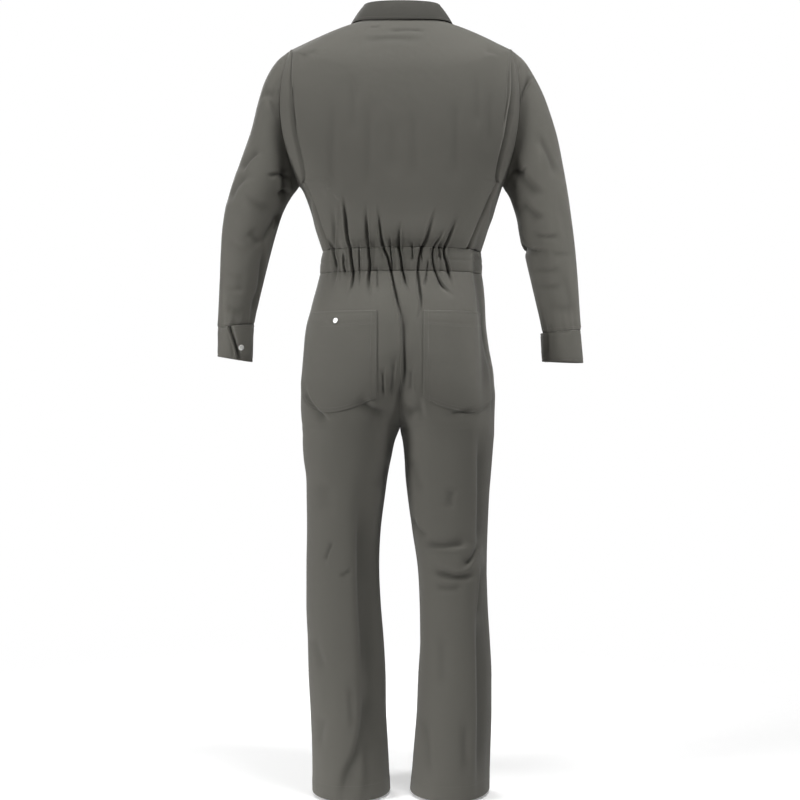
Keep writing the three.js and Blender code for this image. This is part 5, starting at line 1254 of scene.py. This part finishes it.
def collar_half(side, turn):
    """Half the collar: a row of points for each step up the stand, over the fold and down."""
    run = np.full_like(turn, 3.0)
    seam = on_bodice(side, turn, run)
    tangent = round_step(side, turn, run, SEAM_STEP)
    outward = unit(np.stack([tangent[:, 1], -tangent[:, 0], 0 * turn], axis=-1))
    outward = np.where(np.sum(outward * seam, axis=1, keepdims=True) < 0, -outward, outward)
    down, along, off = (read(COLLAR_EDGE, "round", name, turn) for name in ("down", "along", "off"))
    base = on_bodice(side, along, 3 - down)
    uphill = on_bodice(side, along, 3 - down + FALL_STEP) - base
    normal = unit(np.cross(round_step(side, along, 3 - down, FALL_STEP), uphill))
    facing = np.sum(normal * outward, axis=1) + normal[:, 2]
    normal = np.where(facing[:, None] < 0, -normal, normal)
    foot = base + normal * off[:, None]
    up = np.array([0, 0, 1.0])
    stand = COLLAR["stand"] - COLLAR["front_drop"] * smooth(turn - 1)
    top = seam + up * stand[:, None] - outward * COLLAR["lean"]
    rows = []
    for s in np.linspace(0, 1, STAND_STEPS):
        rows.append(mix(seam + up * COLLAR["seam_gap"], top, s) - outward * COLLAR_CLOTH)
    middle = top + outward * (COLLAR["fold"] - COLLAR_CLOTH)
    for a in math.pi * np.linspace(1, 0, FOLD_STEPS)[1:]:
        rows.append(middle + COLLAR["fold"] * (outward * math.cos(a) + up * math.sin(a)))
    start = rows[-1]
    bend = mix(start, foot, FALL_BEND["at"]) + outward * FALL_BEND["out"] + up * FALL_BEND["up"]
    for s in np.linspace(0, 1, FALL_STEPS)[1:]:
        rows.append(mix(mix(start, bend, s), mix(bend, foot, s), s))
    return np.array(rows)


half_turns = np.linspace(0, 2, 67)
left_half, right_half = (collar_half(side, half_turns) for side in SIDES)
collar_grid = np.concatenate([left_half[:, ::-1], right_half[:, 1:]], axis=1)
cross = unit(np.cross(np.gradient(collar_grid, axis=1), np.gradient(collar_grid, axis=0)))
collar_inner = collar_grid + cross * COLLAR_CLOTH
# the whole collar is painted darker with an even painted shade
shade = np.full(collar_grid.shape[:2], COLLAR_PAINTED_SHADE)
collar = cloth_mesh("collar", collar_grid, collar_inner, trim_twill, fold=shade)
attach(collar, "root")
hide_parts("collar")
stitched(collar_grid, ("row", -4), ("column", 3), ("column", -4))


# The press studs show their caps, stamped from nickel-plated brass with a rolled rim round a
# shallow dished middle. Each is riveted through the placket, a cuff or a pocket's mouth.
NICKEL_COLOUR, NICKEL_POLISH, NICKEL_HAZE = (0.88, 0.88, 0.86, 1), 0.27, 0.2
HAZE_SPOTS = 900.0  # in a metre
nickel = bpy.data.materials.new("nickel")
nickel.use_nodes = True
nickel_shader = nickel.node_tree.nodes["Principled BSDF"]
nickel_shader.inputs["Base Color"].default_value = NICKEL_COLOUR
nickel_shader.inputs["Metallic"].default_value = 1
haze = Maths(nickel.node_tree).value("ShaderNodeTexCoord", "Object").noise(HAZE_SPOTS, 3.0)
(haze * NICKEL_HAZE + NICKEL_POLISH).feeds(nickel_shader.inputs["Roughness"])

# Each point of the outline is the distance from the cap's axis and the height, from the foot up
STUD_PROFILE = (
    (0, 0), (5.3, 0), (5.75, 0.35), (5.8, 0.8), (5.5, 1.5), (4.9, 2.0), (4.2, 2.2), (3.6, 1.9),
    (3.2, 1.55), (2.6, 1.6), (1.6, 1.9), (0.7, 2.05), (0, 2.08),
)
STUD_GAP, STUD_SIDES = 0.35, 28
SLANT = (0.3, 0.2, 1.0)  # a direction that no stud faces


def stud(name, point, normal):
    """A turned cap that stands on a point of the cloth, along its normal."""
    z = unit(np.array(normal, float))
    x = unit(np.cross(z, SLANT))
    y = np.cross(z, x)
    vertices, faces = [], []
    for r, h in STUD_PROFILE[1:-1]:
        for a in np.arange(STUD_SIDES) * 2 * math.pi / STUD_SIDES:
            vertices.append(point + r * (x * math.cos(a) + y * math.sin(a)) + z * (h + STUD_GAP))
    rings = len(STUD_PROFILE) - 2
    for i in range(rings - 1):
        for j in range(STUD_SIDES):
            a, b = i * STUD_SIDES + j, i * STUD_SIDES + (j + 1) % STUD_SIDES
            faces.append((a, b, b + STUD_SIDES, a + STUD_SIDES))
    base, top = len(vertices), len(vertices) + 1
    vertices += [point + z * STUD_GAP, point + z * (STUD_PROFILE[-1][1] + STUD_GAP)]
    last = (rings - 1) * STUD_SIDES
    for j in range(STUD_SIDES):
        following = (j + 1) % STUD_SIDES
        faces += [(following, j, base), (last + j, last + following, top)]
    mesh = bpy.data.meshes.new(name)
    mesh.from_pydata(((np.array(vertices) - (0, 0, NECK_BASE)) * MM).tolist(), [], faces)
    mesh.polygons.foreach_set("use_smooth", [True] * len(faces))
    mesh.materials.append(nickel)
    piece = bpy.data.objects.new(f"{name}_cap", mesh)
    bpy.context.scene.collection.objects.link(piece)
    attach(piece, "root")
    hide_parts(name)


FRONT_STUD_HEIGHTS = (1462, 1372, 1282, 1192, 1112, 1032, 956, 884)
middle_line = placket_outer[:, PLACKET_COLUMNS // 2]
for number, height in enumerate(FRONT_STUD_HEIGHTS, 1):
    place = np.array([np.interp(height, middle_line[:, 2], middle_line[:, c]) for c in range(3)])
    facing = np.array([np.interp(height, middle_line[:, 2], out[:, c]) for c in range(3)])
    stud(f"front_stud_{number}", place, facing)
for side in SIDES:
    stud(f"cuff_stud_{side}", *cuff_places[side])
stud("hip_pocket_stud", *pocket_stud_place)


# All the seams are sewn with the same polyester thread in the cloth's own grey. Each line of
# stitches is laid along the line marked on its piece, half sunk in the cloth.
STITCH_PITCH, STITCH_LENGTH, STITCH_RADIUS, STITCH_SIDES = 0.0042, 0.0031, 0.00036, 4
THREAD_GREY, THREAD_ROUGHNESS = (0.12, 0.115, 0.1, 1), 0.6
corners, links = [], []
for line in seam_lines:
    first = len(corners)
    corners += ((line - (0, 0, NECK_BASE)) * MM).tolist()
    links += [(i, i + 1) for i in range(first, len(corners) - 1)]
seams = bpy.data.meshes.new("seams")
seams.from_pydata(corners, links, [])
seam_object = bpy.data.objects.new("seams", seams)
bpy.context.scene.collection.objects.link(seam_object)

thread = bpy.data.materials.new("thread")
thread.use_nodes = True
thread_shader = thread.node_tree.nodes["Principled BSDF"]
thread_shader.inputs["Base Color"].default_value = THREAD_GREY
thread_shader.inputs["Roughness"].default_value = THREAD_ROUGHNESS

tree = bpy.data.node_groups.new("stitches", "GeometryNodeTree")
inputs = {}
for label, kind in (
    ("Seams", "NodeSocketGeometry"), ("Pitch", "NodeSocketFloat"), ("Length", "NodeSocketFloat"),
    ("Radius", "NodeSocketFloat"), ("Thread", "NodeSocketMaterial"),
):
    inputs[label] = tree.interface.new_socket(name=label, in_out="INPUT", socket_type=kind).identifier
tree.interface.new_socket(name="Stitches", in_out="OUTPUT", socket_type="NodeSocketGeometry")
given, result, to_curve, spread, one_stitch, turned, laid, made_real, painted = (
    tree.nodes.new(kind) for kind in (
        "NodeGroupInput", "NodeGroupOutput", "GeometryNodeMeshToCurve", "GeometryNodeCurveToPoints",
        "GeometryNodeMeshCylinder", "FunctionNodeAlignRotationToVector",
        "GeometryNodeInstanceOnPoints", "GeometryNodeRealizeInstances", "GeometryNodeSetMaterial",
    )
)
spread.mode = "LENGTH"
turned.axis = "Z"
one_stitch.inputs["Vertices"].default_value = STITCH_SIDES
for start, end in (
    (given.outputs["Seams"], to_curve.inputs["Mesh"]),
    (to_curve.outputs["Curve"], spread.inputs["Curve"]),
    (given.outputs["Pitch"], spread.inputs["Length"]),
    (given.outputs["Radius"], one_stitch.inputs["Radius"]),
    (given.outputs["Length"], one_stitch.inputs["Depth"]),
    (spread.outputs["Tangent"], turned.inputs["Vector"]),
    (spread.outputs["Points"], laid.inputs["Points"]),
    (one_stitch.outputs["Mesh"], laid.inputs["Instance"]),
    (turned.outputs["Rotation"], laid.inputs["Rotation"]),
    (laid.outputs["Instances"], made_real.inputs["Geometry"]),
    (made_real.outputs["Geometry"], painted.inputs["Geometry"]),
    (given.outputs["Thread"], painted.inputs["Material"]),
    (painted.outputs["Geometry"], result.inputs["Stitches"]),
):
    tree.links.new(start, end)
sewing = seam_object.modifiers.new("sewing", "NODES")
sewing.node_group = tree
for label, value in (
    ("Pitch", STITCH_PITCH), ("Length", STITCH_LENGTH), ("Radius", STITCH_RADIUS), ("Thread", thread),
):
    sewing[inputs[label]] = value
evaluated = seam_object.evaluated_get(bpy.context.evaluated_depsgraph_get())
stitches = bpy.data.objects.new("stitches", bpy.data.meshes.new_from_object(evaluated))
bpy.context.scene.collection.objects.link(stitches)
bpy.data.objects.remove(seam_object)
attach(stitches, "root")
